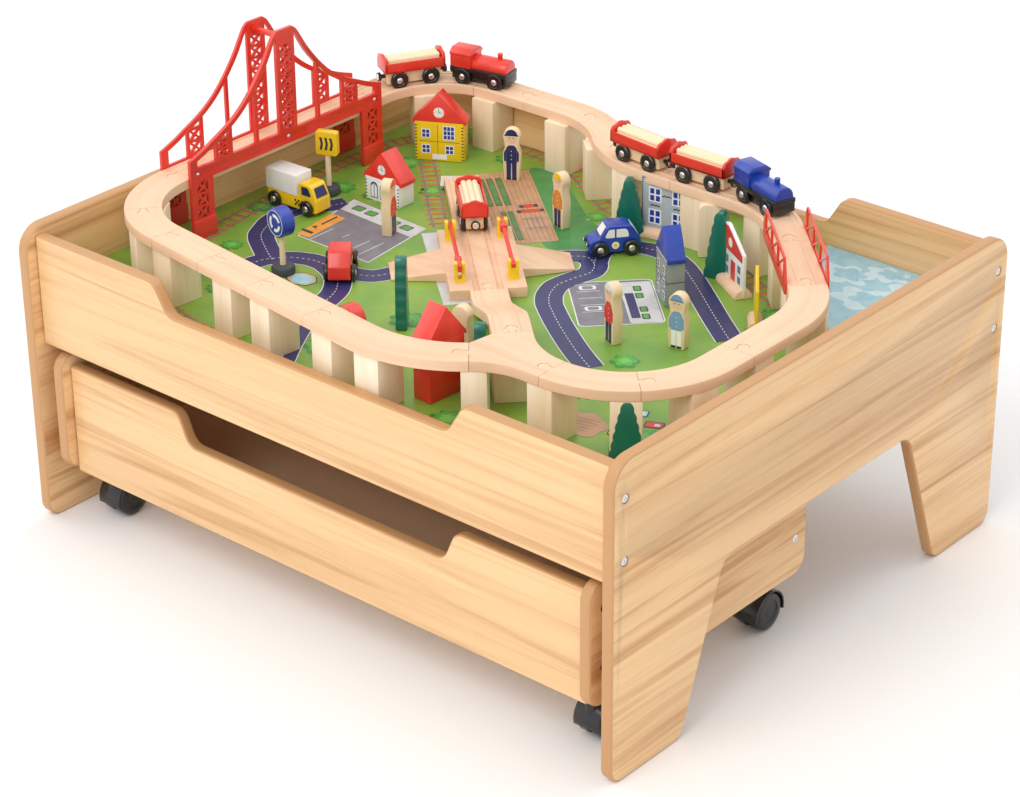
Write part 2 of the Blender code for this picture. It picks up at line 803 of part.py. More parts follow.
def back_path():
    """The fenced straight, the bend, the lower run, the S and the back-left curve to the bridge."""
    start, heading, _ = right_path()[-1]
    bend = math.radians(BEND_TURN)
    radii = CURVE_RADIUS + 2 * S_RADIUS
    rise = BRIDGE_BACK + BACK_LEAD + BACK_CURVE_RADIUS - start.y - radii * (1 - math.cos(bend))
    fence = rise / math.sin(bend)
    sideways = fence * math.cos(bend) + radii * math.sin(bend) + LOWER_RUN
    upper = start.x - BRIDGE_X - BACK_CURVE_RADIUS - sideways
    moves = [
        ("straight", fence),
        ("arc", CURVE_RADIUS, BEND_TURN),
        ("straight", LOWER_RUN),
        ("arc", S_RADIUS, -BEND_TURN),
        ("arc", S_RADIUS, BEND_TURN),
        ("straight", upper),
        ("arc", BACK_CURVE_RADIUS, 90),
        ("straight", BACK_LEAD),
    ]
    return trace(start, heading, moves)


def bridge_path():
    return trace((BRIDGE_X, BRIDGE_BACK), -90, [("straight", BRIDGE_BACK - BRIDGE_FRONT)])


def ramp_path():
    """The straight branch from the switch down to the crossing deck, in short steps on its slope."""
    start, heading, _ = switch_paths()[1][-1]
    steps = 10
    moves = [("straight", RAMP_LEVEL)]
    moves += [("straight", RAMP_SLOPE / steps)] * steps
    moves.append(("straight", RAMP_FOOT))
    return trace(start, heading, moves)


def ramp_height(distance):
    """Level, then an S down to the crossing deck, then level again."""
    part = min(1, max(0, (distance - RAMP_LEVEL) / RAMP_SLOPE))
    return TRACK_TOP - (TRACK_TOP - DECK_TOP) * (3 * part**2 - 2 * part**3)


def bridge_deck():
    path = bridge_path()
    deck = sweep("bridge_deck", path, track_profile(), TRACK_TOP, finish=beech())
    start, heading, _ = path[0]
    deck = join(deck, [peg(path[-1][0], heading, TRACK_TOP)])
    return cut(deck, [socket_cutter(start, heading, TRACK_TOP)])


def track_front():
    path = front_path()
    track = sweep("track_front", path, track_profile(), TRACK_TOP, finish=beech())
    places = [0.074, 0.130, 0.1906, 0.2973, 0.3618, 0.4645, 0.530, path_length(path) - 0.024]
    track = add_piers(track, path, places, PIER_INWARD_FRONT)
    sockets = [socket_cutter(path[0][0], path[0][1], TRACK_TOP)]
    sockets.append(socket_cutter(path[-1][0], path[-1][1] + 180, TRACK_TOP))
    return cut(track, sockets)


def track_switch():
    """The three-way piece: two curved legs from one stem, the web between them, and its grooves."""
    left, right = switch_paths()
    edge = TRACK_WIDTH / 2
    plain = [(edge, -TRACK_THICK), (edge, 0), (-edge, 0), (-edge, -TRACK_THICK)]
    track = sweep("track_switch", left, plain, TRACK_TOP, finish=beech())
    branch = sweep("branch", right, plain, TRACK_TOP)
    track = join(track, [branch])
    corners = []
    for samples, side in ((left, -1), (right, 1)):
        place, heading, _ = samples[-1]
        across = math.radians(heading + 90)
        corners.append(place + Vector((math.cos(across), math.sin(across))) * side * (edge - FIT))
    corners.append(SWITCH_STEM.copy() - Vector((edge, 0)))
    web = prism("web", [tuple(corner) for corner in corners], "XY", TRACK_TOP - TRACK_THICK + FIT, TRACK_TOP - FIT)
    track = join(track, [web])
    cutters = []
    for samples in (left, right):
        for profile in groove_profiles():
            cutters.append(sweep("groove", samples, profile, TRACK_TOP, trim=-SINK))
    track = cut(track, cutters)
    track = add_piers(track, left, [0.020, path_length(left) - 0.022])
    track = join(track, [peg(samples[-1][0], samples[-1][1], TRACK_TOP) for samples in (left, right)])
    return cut(track, [socket_cutter(SWITCH_STEM, 180, TRACK_TOP)])


def track_right():
    path = right_path()
    track = sweep("track_right", path, track_profile(), TRACK_TOP, finish=beech())
    length = path_length(path)
    track = add_piers(track, path, [0.075, 0.150, 0.235, length - 0.030])
    pegs = [peg(path[0][0], path[0][1] + 180, TRACK_TOP), peg(path[-1][0], path[-1][1], TRACK_TOP)]
    return join(track, pegs)


def lattice_holes(low, high, bottom, top, cells, bar):
    """Triangles left open between the crossed bars of cells that are stacked between two heights."""
    holes = []
    middle = (low + high) / 2
    half_wide = (high - low) / 2 - bar / 2
    half_high = (top - bottom) / cells / 2
    slope = half_high / half_wide
    offset = bar / 2 * math.sqrt(1 + slope**2)
    for cell in range(cells):
        centre = bottom + half_high * (2 * cell + 1)
        side_top = slope * half_wide - offset - bar / 2
        for way in (-1, 1):
            outer = middle + way * half_wide
            inner = middle + way * offset / slope
            reach = slope * half_wide - offset
            holes.append([(inner, centre), (outer, centre - reach), (outer, centre + reach)])
            far = centre + way * (half_high - bar / 2)
            near = centre + way * offset
            spread = (half_high - bar / 2 - offset) / slope
            holes.append([(middle, near), (middle - spread, far), (middle + spread, far)])
        if side_top <= 0:
            return []
    return holes


def cable_height(offset):
    """The upper edge of the cable at a distance from the tower."""
    part = 1 - abs(offset) / TRUSS_HALF
    return CABLE_END_TOP + CABLE_RISE * max(0, part) ** CABLE_POWER


def truss_outline():
    """One bridge side from its feet over the cable and the tower to its feet again."""
    half = []
    for step in range(9):
        offset = TRUSS_HALF + (TOWER_HALF - TRUSS_HALF) * step / 8
        half.append((offset, cable_height(offset)))
    right = [(LEG_INNER, BEAM_BOTTOM), (LEG_INNER, PLAY_TOP + FIT), (TRUSS_HALF, PLAY_TOP + FIT)]
    right += half
    right += [(TOWER_HALF, TOWER_TOP - 0.002), (TOWER_HALF - 0.002, TOWER_TOP)]
    return right + [(-y, z) for y, z in reversed(right)]


def opening_under_cable(near, far):
    """The open panel between two hangers, from the beam up to the cable."""
    steps = 4
    outline = [(far, BEAM_TOP), (near, BEAM_TOP)]
    for step in range(steps + 1):
        offset = near + (far - near) * step / steps
        outline.append((offset, cable_height(offset) - CABLE_DEPTH))
    return outline


def truss_holes():
    holes = []
    for side in (-1, 1):
        outlines = [
            opening_under_cable(TOWER_HALF, HANGER_AT - HANGER_WIDE / 2),
            opening_under_cable(HANGER_AT + HANGER_WIDE / 2, PANEL_AT - PANEL_WIDE / 2),
            opening_under_cable(PANEL_AT + PANEL_WIDE / 2, END_BLOCK_INNER),
        ]
        panel_top = cable_height(PANEL_AT + PANEL_WIDE / 2) - CABLE_DEPTH
        outlines += lattice_holes(
            PANEL_AT - PANEL_WIDE / 2, PANEL_AT + PANEL_WIDE / 2, BEAM_TOP, panel_top, 2, LATTICE_BAR
        )
        outlines.append(
            [
                (END_BLOCK_INNER + TOWER_BAR, BEAM_TOP),
                (TRUSS_HALF - TOWER_BAR * 1.6, BEAM_TOP),
                (END_BLOCK_INNER + TOWER_BAR, cable_height(END_BLOCK_INNER + TOWER_BAR) - TOWER_BAR),
            ]
        )
        outlines += lattice_holes(
            LEG_INNER, TRUSS_HALF, PLAY_TOP + LEG_FOOT, BEAM_BOTTOM, 2, TOWER_BAR
        )
        for outline in outlines:
            holes.append([(side * y, z) for y, z in outline])
    holes += lattice_holes(-TOWER_HALF, TOWER_HALF, BEAM_TOP, TOWER_TOP - TOWER_BAR / 2, 3, TOWER_BAR)
    return holes


def bridge_truss(name, side, thick):
    """One pierced side of the bridge, which stands on its own legs beside the deck."""
    near = TRACK_WIDTH / 2 + FIT
    low, high = sorted((side * near, side * (near + thick)))
    truss = prism(name, truss_outline(), "YZ", low, high, red_paint())
    cutters = []
    for outline in truss_holes():
        cutters.append(prism("opening", outline, "YZ", low - SINK, high + SINK))
    truss = cut(truss, cutters)
    if side > 0:
        bar = block(
            "cross_bar",
            (-near + FIT, -CROSS_BAR_HALF, TOWER_TOP - CROSS_BAR_HIGH),
            (near + SINK, CROSS_BAR_HALF, TOWER_TOP - FIT),
        )
        truss = join(truss, [bar])
    truss.location = (BRIDGE_X, BRIDGE_SIDE_MIDDLE, 0)
    return truss


def fence(length, side):
    """A latticed guard rail along one edge of a straight, in the straight's own frame."""
    edge = TRACK_WIDTH / 2 - FIT
    low, high = sorted((side * (edge - FENCE_THICK), side * edge))
    start, end = FENCE_MARGIN, length - FENCE_MARGIN
    slant = FENCE_HIGH * 0.45
    outline = [(start, -SINK), (end, -SINK), (end - slant, FENCE_HIGH), (start + slant, FENCE_HIGH)]
    rail = prism("fence", outline, "XZ", low, high)
    cutters = []
    cell = (end - start - 2 * slant) / FENCE_CELLS
    bottom, top = FENCE_RAIL, FENCE_HIGH - FENCE_RAIL
    for index in range(FENCE_CELLS):
        left = start + slant + cell * index + FENCE_RAIL / 2
        right = left + cell - FENCE_RAIL
        gap = FENCE_RAIL * 0.8
        for corners in (
            [(left, bottom), (right - gap, bottom), (left, top - gap / 2)],
            [(right, top), (left + gap, top), (right, bottom + gap / 2)],
        ):
            cutters.append(prism("opening", corners, "XZ", low - SINK, high + SINK))
    return cut(rail, cutters)


def track_back():
    path = back_path()
    track = sweep("track_back", path, track_profile(), TRACK_TOP, finish=beech())
    track = add_piers(track, path, [0.030, 0.115, 0.205, 0.300, 0.400])
    track = add_piers(track, path, [0.480, 0.575, 0.690, 0.785], PIER_INWARD_BACK)
    start, heading, _ = path[0]
    fences = []
    for side in (-1, 1):
        fences.append(moved(fence(path[1][2], side), facing(start, heading, TRACK_TOP)))
    track = join(track, fences)
    track = join(track, [peg(path[-1][0], path[-1][1], TRACK_TOP)])
    return cut(track, [socket_cutter(path[0][0], path[0][1], TRACK_TOP)])


def ramp_track():
    path = ramp_path()
    track = sweep("ramp_track", path, track_profile(), ramp_height, finish=beech())
    foot = PLAY_TOP + FIT
    skim = block("board_line", (-1, -1, foot - 0.05), (1, 1, foot))
    track = cut(track, [skim])
    track = add_piers(track, path, [0.045])
    track = join(track, [peg(path[-1][0], path[-1][1], DECK_TOP)])
    return cut(track, [socket_cutter(path[0][0], path[0][1], TRACK_TOP)])


def deck_place():
    """The transform from the crossing deck's own frame, with X along the branch, to the world."""
    end, heading, _ = ramp_path()[-1]
    way = Vector((math.cos(math.radians(heading)), math.sin(math.radians(heading))))
    return facing(end + way * DECK_LONG / 2, heading, DECK_TOP)


def road_ramp(side):
    """A tapering wedge from the deck's edge down to the road."""
    inner = DECK_WIDE / 2 - SINK
    outer = DECK_WIDE / 2 + ROAD_RAMP_REACH
    low = PLAY_TOP + FIT - DECK_TOP
    bm = bmesh.new()
    lower, upper = [], []
    for along, across, top in (
        (-ROAD_RAMP_INNER / 2, inner, -FIT),
        (ROAD_RAMP_INNER / 2, inner, -FIT),
        (ROAD_RAMP_OUTER / 2, outer, low + ROAD_RAMP_LIP),
        (-ROAD_RAMP_OUTER / 2, outer, low + ROAD_RAMP_LIP),
    ):
        lower.append(bm.verts.new((along, side * across, low + FIT)))
        upper.append(bm.verts.new((along, side * across, top)))
    bm.faces.new(lower)
    bm.faces.new(upper)
    for index in range(4):
        after = (index + 1) % 4
        bm.faces.new((lower[index], lower[after], upper[after], upper[index]))
    return new_object("road_ramp", bm)


def gate_post(along, across):
    half, top = POST_WIDTH / 2, POST_TOP_WIDTH / 2
    outline = [(-half, -SINK), (half, -SINK), (half, 0.004), (top, POST_HEIGHT), (-top, POST_HEIGHT), (-half, 0.004)]
    post = prism("post", outline, "XZ", -half, half)
    return moved(post, Matrix.Translation((along, across, 0)))


def gate_slots(side):
    """Cutters for one gate arm: its slots in two posts, and the bore of its pivot."""
    reach = POST_WIDTH / 2 + SINK
    half = ARM_THICK / 2 + FIT
    top = POST_HEIGHT + SINK
    across = side * POST_ACROSS
    pivot = -side * POST_ALONG
    deep = block(
        "pivot_slot",
        (pivot - reach, across - half, POST_HEIGHT - POST_SLOT),
        (pivot + reach, across + half, top),
    )
    shallow = block(
        "rest_slot",
        (-pivot - reach, across - half, POST_HEIGHT - REST_SLOT),
        (-pivot + reach, across + half, top),
    )
    radius = ARM_PIN_RADIUS + BORE_PLAY
    bore = turned("pivot_bore", [(-reach, radius), (reach, radius)], "Y", 10)
    moved(bore, Matrix.Translation((pivot, across, POST_HEIGHT - PIVOT_BELOW_TOP)))
    return [deep, shallow, bore]


def crossing_deck():
    """The level crossing: deck, four gate posts, two road ramps and the track behind it."""
    low = PLAY_TOP + FIT - DECK_TOP
    half_long, half_wide = DECK_LONG / 2, DECK_WIDE / 2
    deck = block("crossing_deck", (-half_long + FIT / 2, -half_wide, low), (half_long, half_wide, 0), beech())
    tail = [(Vector((half_long - SINK, 0)), 0, 0), (Vector((half_long + TAIL_LENGTH, 0)), 0, TAIL_LENGTH)]
    edge = TRACK_WIDTH / 2
    plain = [(edge, low + FIT), (edge, -FIT), (-edge, -FIT), (-edge, low + FIT)]
    tail_track = sweep("tail_track", tail, plain, 0)
    posts = []
    for along in (-POST_ALONG, POST_ALONG):
        for across in (-POST_ACROSS, POST_ACROSS):
            posts.append(gate_post(along, across))
    deck = join(deck, [tail_track, road_ramp(-1), road_ramp(1)] + posts)
    rails = [(Vector((-half_long, 0)), 0, 0), (Vector((half_long + TAIL_LENGTH, 0)), 0, 1)]
    cutters = [sweep("groove", rails, profile, 0, trim=-SINK) for profile in groove_profiles()]
    cutters += gate_slots(1) + gate_slots(-1)
    cutters.append(socket_cutter(Vector((-half_long, 0)), 0, 0))
    deck = cut(deck, cutters)
    return moved(deck, deck_place())


def gate_arm(name, side):
    """A swinging gate arm with its pivot pin, and the origin on the pivot."""
    reach = 2 * POST_ALONG + POST_WIDTH / 2
    half = ARM_THICK / 2
    tab, high, tab_high = ARM_TAB, ARM_HIGH / 2, ARM_TAB_HIGH / 2
    outline = [
        (-tab, -tab_high + 0.001, 0.001),
        (-tab, tab_high, 0.001),
        (tab, tab_high, 0.001),
        (tab + 0.006, high, 0),
        (reach, high, 0.001),
        (reach, -high, 0.001),
        (tab + 0.006, -high, 0),
        (tab, -tab_high + 0.001, 0.001),
    ]
    arm = prism(name, rounded(outline, 45), "XZ", -half, half, red_paint())
    pin_reach = POST_WIDTH / 2 - FIT
    pin = turned("pin", [(-pin_reach, ARM_PIN_RADIUS), (pin_reach, ARM_PIN_RADIUS)], "Y", 10)
    arm = join(arm, [pin])
    pivot = Matrix.Translation((-side * POST_ALONG, side * POST_ACROSS, POST_HEIGHT - PIVOT_BELOW_TOP))
    turn = Matrix.Rotation(0 if side > 0 else math.pi, 4, "Z")
    arm.matrix_world = deck_place() @ pivot @ turn
    return arm


# Trains


def wheel_pair(name, shared, sides, finish, near, far, radius, axle_radius, taper):
    """Two wheels fixed on one axle along Y, with the origin at the middle of the axle."""
    if shared:
        pair = bpy.data.objects.new(name, shared)
        bpy.context.scene.collection.objects.link(pair)
        return pair
    side = [(near, axle_radius), (near, radius)]
    if taper:
        edge = (far - near) / 2 - WHEEL_TREAD_HALF
        side = [(near, axle_radius), (near, radius - taper), (near + edge, radius)]
        side += [(far - edge, radius), (far, radius - taper)]
    else:
        side.append((far, radius))
    profile = [(-y, size) for y, size in reversed(side)] + side
    return turned(name, profile, "Y", sides, finish)


def axle_bores(places, height, radius, reach):
    bores = []
    for along in places:
        bore = turned("axle_bore", [(-reach, radius), (reach, radius)], "Y", 10)
        bores.append(moved(bore, Matrix.Translation((along, 0, height))))
    return bores


def couplings(frame_half):
    """A rod and a magnet at each end of a vehicle."""
    pieces = []
    for way in (-1, 1):
        end = HALF_PITCH - FIT / 2
        rod = [(way * (frame_half - SINK), COUPLING_ROD), (way * (end - MAGNET_THICK / 2), COUPLING_ROD)]
        magnet = [(way * (end - MAGNET_THICK), MAGNET_RADIUS), (way * end, MAGNET_RADIUS)]
        for profile, sides in ((rod, 8), (magnet, 12)):
            piece = turned("coupling", profile, "X", sides)
            pieces.append(moved(piece, Matrix.Translation((0, 0, COUPLING_HEIGHT))))
    return pieces


def arched(half, shoulder, top, steps=6):
    """The upper part of an end wall or roof: straight sides and an arc over them."""
    rise = top - shoulder
    radius = (half**2 + rise**2) / (2 * rise)
    reach = math.degrees(math.asin(half / radius))
    return arc((0, top - radius), radius, 90 - reach, 90 + reach, steps)


def wagon_body(name):
    """A wagon: wooden frame, tub with raised end walls, and its load of logs."""
    wagon = block(
        name,
        (-TUB_HALF_LONG, -TUB_HALF_WIDE, FRAME_TOP),
        (TUB_HALF_LONG, TUB_HALF_WIDE, TUB_SIDE_TOP),
        red_paint(),
    )
    inner_long, inner_wide = TUB_HALF_LONG - TUB_END_WALL, TUB_HALF_WIDE - TUB_WALL
    floor = FRAME_TOP + TUB_END_WALL
    pocket = block(
        "pocket", (-inner_long, -inner_wide, floor), (inner_long, inner_wide, TUB_SIDE_TOP + SINK)
    )
    wagon = cut(wagon, [pocket])
    half = TUB_HALF_WIDE - FIT
    wall = [(-half, FRAME_TOP + FIT), (half, FRAME_TOP + FIT)] + arched(half, TUB_SIDE_TOP, TUB_END_TOP)
    walls = []
    for way in (-1, 1):
        ends = sorted((way * (inner_long + FIT), way * (TUB_HALF_LONG - FIT)))
        walls.append(prism("end_wall", wall, "YZ", *ends))
    load = [(-LOAD_HALF_WIDE, floor - FIT), (LOAD_HALF_WIDE, floor - FIT)]
    load += arched(LOAD_HALF_WIDE, LOAD_SHOULDER, LOAD_TOP)
    walls.append(prism("load", load, "YZ", -LOAD_HALF_LONG, LOAD_HALF_LONG))
    frame = block(
        "frame",
        (-WAGON_FRAME_HALF, -FRAME_HALF_WIDE, FRAME_LOW),
        (WAGON_FRAME_HALF, FRAME_HALF_WIDE, FRAME_TOP + SINK),
    )
    wagon = join(wagon, walls + [frame] + couplings(WAGON_FRAME_HALF))
    axles = (-WAGON_BASE / 2, WAGON_BASE / 2)
    return cut(wagon, axle_bores(axles, WHEEL_CENTRE, AXLE_RADIUS + BORE_PLAY, TUB_HALF_WIDE))


def engine_body(name, finish):
    """An engine: frame, footplate, boiler, cab and chimney."""
    long, wide = ENGINE_HALF_LONG, ENGINE_HALF_WIDE
    corners = [(-long, -wide, 0.004), (long, -wide, 0.004), (long, wide, 0.004), (-long, wide, 0.004)]
    engine = prism(name, rounded(corners, 30), "XY", FRAME_TOP, FRAME_TOP + FOOTPLATE, finish)
    inset = FIT * 4
    frame = block(
        "frame",
        (-long + inset, -FRAME_HALF_WIDE, FRAME_LOW),
        (long - inset, FRAME_HALF_WIDE, FRAME_TOP + FOOTPLATE / 2),
    )
    boiler = turned(
        "boiler",
        [(CAB_FRONT - SINK, BOILER_RADIUS), (long - 0.002, BOILER_RADIUS), (long - FIT, BOILER_RADIUS - 0.002)],
        "X",
        18,
    )
    moved(boiler, Matrix.Translation((0, 0, BOILER_AXIS)))
    trim_low = block("trim", (-long, -wide, 0), (long + SINK, wide, FRAME_TOP + FOOTPLATE / 2))
    boiler = cut(boiler, [trim_low])
    half = wide - FIT
    cab_outline = [(-half, FRAME_TOP + FOOTPLATE / 2), (half, FRAME_TOP + FOOTPLATE / 2)]
    cab_outline += arched(half, CAB_SHOULDER, CAB_TOP)
    cab = prism("cab", cab_outline, "YZ", -long + FIT, CAB_FRONT)
    chimney = turned(
        "chimney", [(BOILER_AXIS, CHIMNEY_RADIUS), (CHIMNEY_TOP, CHIMNEY_RADIUS)], "Z", 12
    )
    moved(chimney, Matrix.Translation((CHIMNEY_AT, 0, 0)))
    engine = join(engine, [frame, boiler, cab, chimney] + couplings(ENGINE_HALF_LONG))
    axles = (-ENGINE_BASE / 2, ENGINE_BASE / 2)
    return cut(engine, axle_bores(axles, WHEEL_CENTRE, AXLE_RADIUS + BORE_PLAY, wide))


def on_track(samples, distance, base, backwards=False):
    """Where a vehicle stands with both axles over the middle of the track."""
    behind, _ = at_distance(samples, distance - base / 2)
    ahead, _ = at_distance(samples, distance + base / 2)
    if backwards:
        behind, ahead = ahead, behind
    way = ahead - behind
    return (behind + ahead) / 2, math.degrees(math.atan2(way.y, way.x))


def vehicle(body, wheels, base, wheel_height, place, heading, level):
    """Stands a body and its two wheel pairs at a place, with the wheel pairs' origins on their axles."""
    stand = facing(place, heading, level)
    body.matrix_world = stand
    for pair, along in zip(wheels, (base / 2, -base / 2)):
        pair.matrix_world = stand @ Matrix.Translation((along, 0, wheel_height))
    carry(body, wheels)


def make_trains():
    back = back_path()
    lower_start = back[1][2] + CURVE_RADIUS * math.radians(BEND_TURN)
    back_end = path_length(back)
    tail_start, tail_heading = deck_place().translation, ramp_path()[-1][1]
    tail = trace(tail_start.xy, tail_heading, [("straight", DECK_LONG / 2 + TAIL_LENGTH)])
    stock = (
        ("engine_red", back, back_end - 0.162, ENGINE_BASE, TRACK_TOP),
        ("wagon_red_train", back, back_end - 0.070, WAGON_BASE, TRACK_TOP),
        ("engine_blue", back, lower_start - 0.0365, ENGINE_BASE, TRACK_TOP),
        ("wagon_blue_train_front", back, lower_start + 0.0530, WAGON_BASE, TRACK_TOP),
        ("wagon_blue_train_rear", back, lower_start + 0.1420, WAGON_BASE, TRACK_TOP),
        ("wagon_crossing", tail, 0.104, WAGON_BASE, DECK_TOP),
    )
    near, far = GAUGE_HALF - WHEEL_HALF, GAUGE_HALF + WHEEL_HALF
    shared = None
    for name, path, distance, base, level in stock:
        if name.startswith("engine"):
            body = engine_body(name, red_paint() if name.endswith("red") else blue_paint())
        else:
            body = wagon_body(name)
        pairs = []
        for end in ("front", "rear"):
            pair = wheel_pair(
                f"{name}_wheels_{end}", shared, RAIL_WHEEL_SIDES, black_plastic(),
                near, far, WHEEL_RADIUS, AXLE_RADIUS, WHEEL_TAPER,
            )
            shared = pair.data
            pairs.append(pair)
        place, heading = on_track(path, distance, base, backwards=path is back)
        vehicle(body, pairs, base, WHEEL_CENTRE, place, heading, level)


# Cars


def car_body(name, finish):
    half = CAR_BASE / 2 + 0.012
    outline = [
        (-half, CAR_FLOOR, 0.003),
        (half, CAR_FLOOR, 0.003),
        (half, 0.018, 0.005),
        (half - 0.012, 0.022, 0.006),
        (half - 0.021, CAR_ROOF, 0.006),
        (-half + 0.012, CAR_ROOF, 0.008),
        (-half + 0.001, 0.020, 0.006),
    ]
    return prism(name, rounded(outline, 30), "XZ", -CAR_BODY_HALF, CAR_BODY_HALF, finish)


def truck_body(name, finish):
    """A truck with a rounded cab in front of a taller box."""
    half = TRUCK_BASE / 2 + 0.013
    cab_back = half - 0.026
    outline = [
        (-half, CAR_FLOOR, 0.001),
        (half, CAR_FLOOR, 0.003),
        (half, 0.020, 0.005),
        (half - 0.008, TRUCK_ROOF, 0.006),
        (cab_back, TRUCK_ROOF, 0.004),
        (cab_back - 0.002, TRUCK_BED + 0.001, 0.001),
        (-half, TRUCK_BED + 0.001, 0.001),
    ]
    truck = prism(name, rounded(outline, 30), "XZ", -CAR_BODY_HALF, CAR_BODY_HALF, finish)
    wide = CAR_BODY_HALF + 0.001
    box = block("box", (-half - 0.001, -wide, TRUCK_BED), (cab_back - 0.003, wide, TRUCK_BOX_TOP))
    return join(truck, [box])


def make_cars():
    places = (
        ("car_red", car_body, red_paint(), CAR_BASE, (-0.169, -0.093), 129.7),
        ("car_blue", car_body, blue_paint(), CAR_BASE, (0.0266, 0.1452), -128.0),
        ("truck_yellow", truck_body, yellow_paint(), TRUCK_BASE, (-0.331, 0.007), 2.0),
    )
    near = CAR_BODY_HALF + FIT
    wheel_height = CAR_WHEEL_RADIUS + FIT
    shared = None
    for name, make, finish, base, place, heading in places:
        body = make(name, finish)
        radius = CAR_AXLE_RADIUS + BORE_PLAY
        cut(body, axle_bores((-base / 2, base / 2), wheel_height, radius, CAR_BODY_HALF + SINK))
        pairs = []
        for end in ("front", "rear"):
            pair = wheel_pair(
                f"{name}_wheels_{end}", shared, ROAD_WHEEL_SIDES, black_plastic(),
                near, near + CAR_WHEEL_WIDTH, CAR_WHEEL_RADIUS, CAR_AXLE_RADIUS, 0,
            )
            shared = pair.data
            pairs.append(pair)
        vehicle(body, pairs, base, wheel_height, Vector(place), heading, PLAY_TOP)


# Houses


def house(name, finish, wide, deep, wall, ridge, place, heading):
    """A gabled block that stands on the play board."""
    eave, base = 0.003, FIT
    half = wide / 2
    slope = (ridge - wall) / half
    outline = [
        (-half, base),
        (half, base),
        (half, wall),
        (half + eave, wall - slope * eave),
        (half + eave, wall - slope * eave + 0.005),
        (0, ridge + 0.0035),
        (-half - eave, wall - slope * eave + 0.005),
        (-half - eave, wall - slope * eave),
        (-half, wall),
    ]
    obj = prism(name, outline, "XZ", -deep / 2, deep / 2, finish)
    obj.matrix_world = facing(Vector(place), heading, PLAY_TOP)
    return obj


def make_houses():
    house("house_yellow", yellow_paint(), 0.060, 0.023, 0.0505, 0.082, (-0.3010, 0.2226), 28)
    house("house_white", white_paint(), 0.053, 0.026, 0.0300, 0.060, (-0.2635, 0.0895), 0)
    house("house_red", red_paint(), 0.0498, 0.0247, 0.066, 0.099, (0.1060, -0.2360), 86)
    house("tower_grey", grey_paint(), 0.040, 0.021, 0.057, 0.086, (0.1528, 0.0875), -36)


def main():
    clear_scene()
    end_panel("end_panel_left", -1)
    end_panel("end_panel_right", 1)
    long_board("front_board", -1)
    long_board("back_board", 1)
    play_board()
    make_drawer()
    bridge_deck()
    bridge_truss("bridge_truss_near", 1, TRUSS_THICK_NEAR)
    bridge_truss("bridge_truss_far", -1, TRUSS_THICK_FAR)
    track_front()
    track_switch()
    track_right()
    track_back()
    ramp_track()
    crossing_deck()
    gate_arm("gate_arm_left", 1)
    gate_arm("gate_arm_right", -1)
    make_trains()
    make_cars()
    make_houses()


main()
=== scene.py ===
"""The looks of a wooden train table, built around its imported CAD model.

Metres, Z up, in the CAD model's own frame. Each operator makes one piece or one group of
like pieces, and the panel in the 3D view's sidebar lists them in the order they are run.
"""

import json
import math
import random

import bpy
from bpy.props import FloatProperty, FloatVectorProperty, PointerProperty
from mathutils import Matrix, Vector


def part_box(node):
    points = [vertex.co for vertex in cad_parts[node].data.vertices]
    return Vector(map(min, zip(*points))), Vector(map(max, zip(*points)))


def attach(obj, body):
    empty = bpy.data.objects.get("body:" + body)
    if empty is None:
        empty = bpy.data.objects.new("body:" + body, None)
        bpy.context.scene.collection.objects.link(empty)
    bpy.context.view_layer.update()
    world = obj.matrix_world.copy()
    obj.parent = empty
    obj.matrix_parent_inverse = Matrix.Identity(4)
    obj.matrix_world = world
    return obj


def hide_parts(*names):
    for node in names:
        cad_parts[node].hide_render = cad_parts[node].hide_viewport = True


bl_info = {
    "name": "Train Table Looks",
    "version": (1, 0, 0),
    "blender": (4, 5, 0),
    "location": "View3D > Sidebar > Train Table",
    "description": "Dresses the packed train table with its finishes and its small pieces",
    "category": "Object",
}

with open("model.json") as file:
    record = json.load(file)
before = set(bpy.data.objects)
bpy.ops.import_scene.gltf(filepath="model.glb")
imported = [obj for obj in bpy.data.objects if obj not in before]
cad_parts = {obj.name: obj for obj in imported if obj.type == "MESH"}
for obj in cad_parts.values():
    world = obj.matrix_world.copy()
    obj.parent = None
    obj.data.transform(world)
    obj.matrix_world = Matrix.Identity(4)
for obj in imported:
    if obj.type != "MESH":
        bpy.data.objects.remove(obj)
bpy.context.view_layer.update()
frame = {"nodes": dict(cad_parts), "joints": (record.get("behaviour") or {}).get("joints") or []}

# The photograph's camera, worked out from the corners of the table
IMAGE_WIDE = 1020
FOCAL_PIXELS = 2960.6
SENSOR_WIDE = 36.0
CAMERA_AT = Vector((1.9192, -2.2210, 1.7008))
CAMERA_AZIMUTH = 40.876
CAMERA_ELEVATION = 27.790
CAMERA_ROLL = -0.5038

# Heights
PLAY_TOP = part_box("play_board")[1].z
TRACK_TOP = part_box("bridge_deck")[1].z
DECK_TOP = 0.3035
PANEL_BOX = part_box("end_panel_right")

# End panels: the arch between the legs, the roundings, and the screws with how far they lie sunk
FOOT_WIDE = 0.1132
ARCH_HALF = 0.1635
ARCH_TOP = 0.182
ARCH_ROUND = 0.022
FOOT_ROUND = 0.018
SHOULDER_ROUND = 0.030
PANEL_SCREWS = [(y, z) for y in (-0.3238, 0.3238) for z in (0.3201, 0.2512)]
SCREW_SUNK = 0.0013
SINK_PLAY = 0.0006

# Dips in the upper edges: height, half the length, run of the slope and rounding
BOARD_DIP = (0.3169, 0.1975, 0.0215, 0.016)
DRAWER_DIP = (0.163, 0.184, 0.016, 0.016)
DRAWER_END_ROUND = 0.020
DRAWER_SCREW_HEIGHTS = (0.183, 0.115)

# Casters: the wheels' trail behind the stem, the plate, and its screws from the stem
CASTER_TRAIL = 0.014
CASTER_PLATE_LEVEL = 0.073
CASTER_PLATE_HALF = 0.018
CASTER_SCREW = 0.0125

# Axle heights of the toys' wheels
TRAIN_AXLE = 0.0083
CAR_AXLE = 0.0098

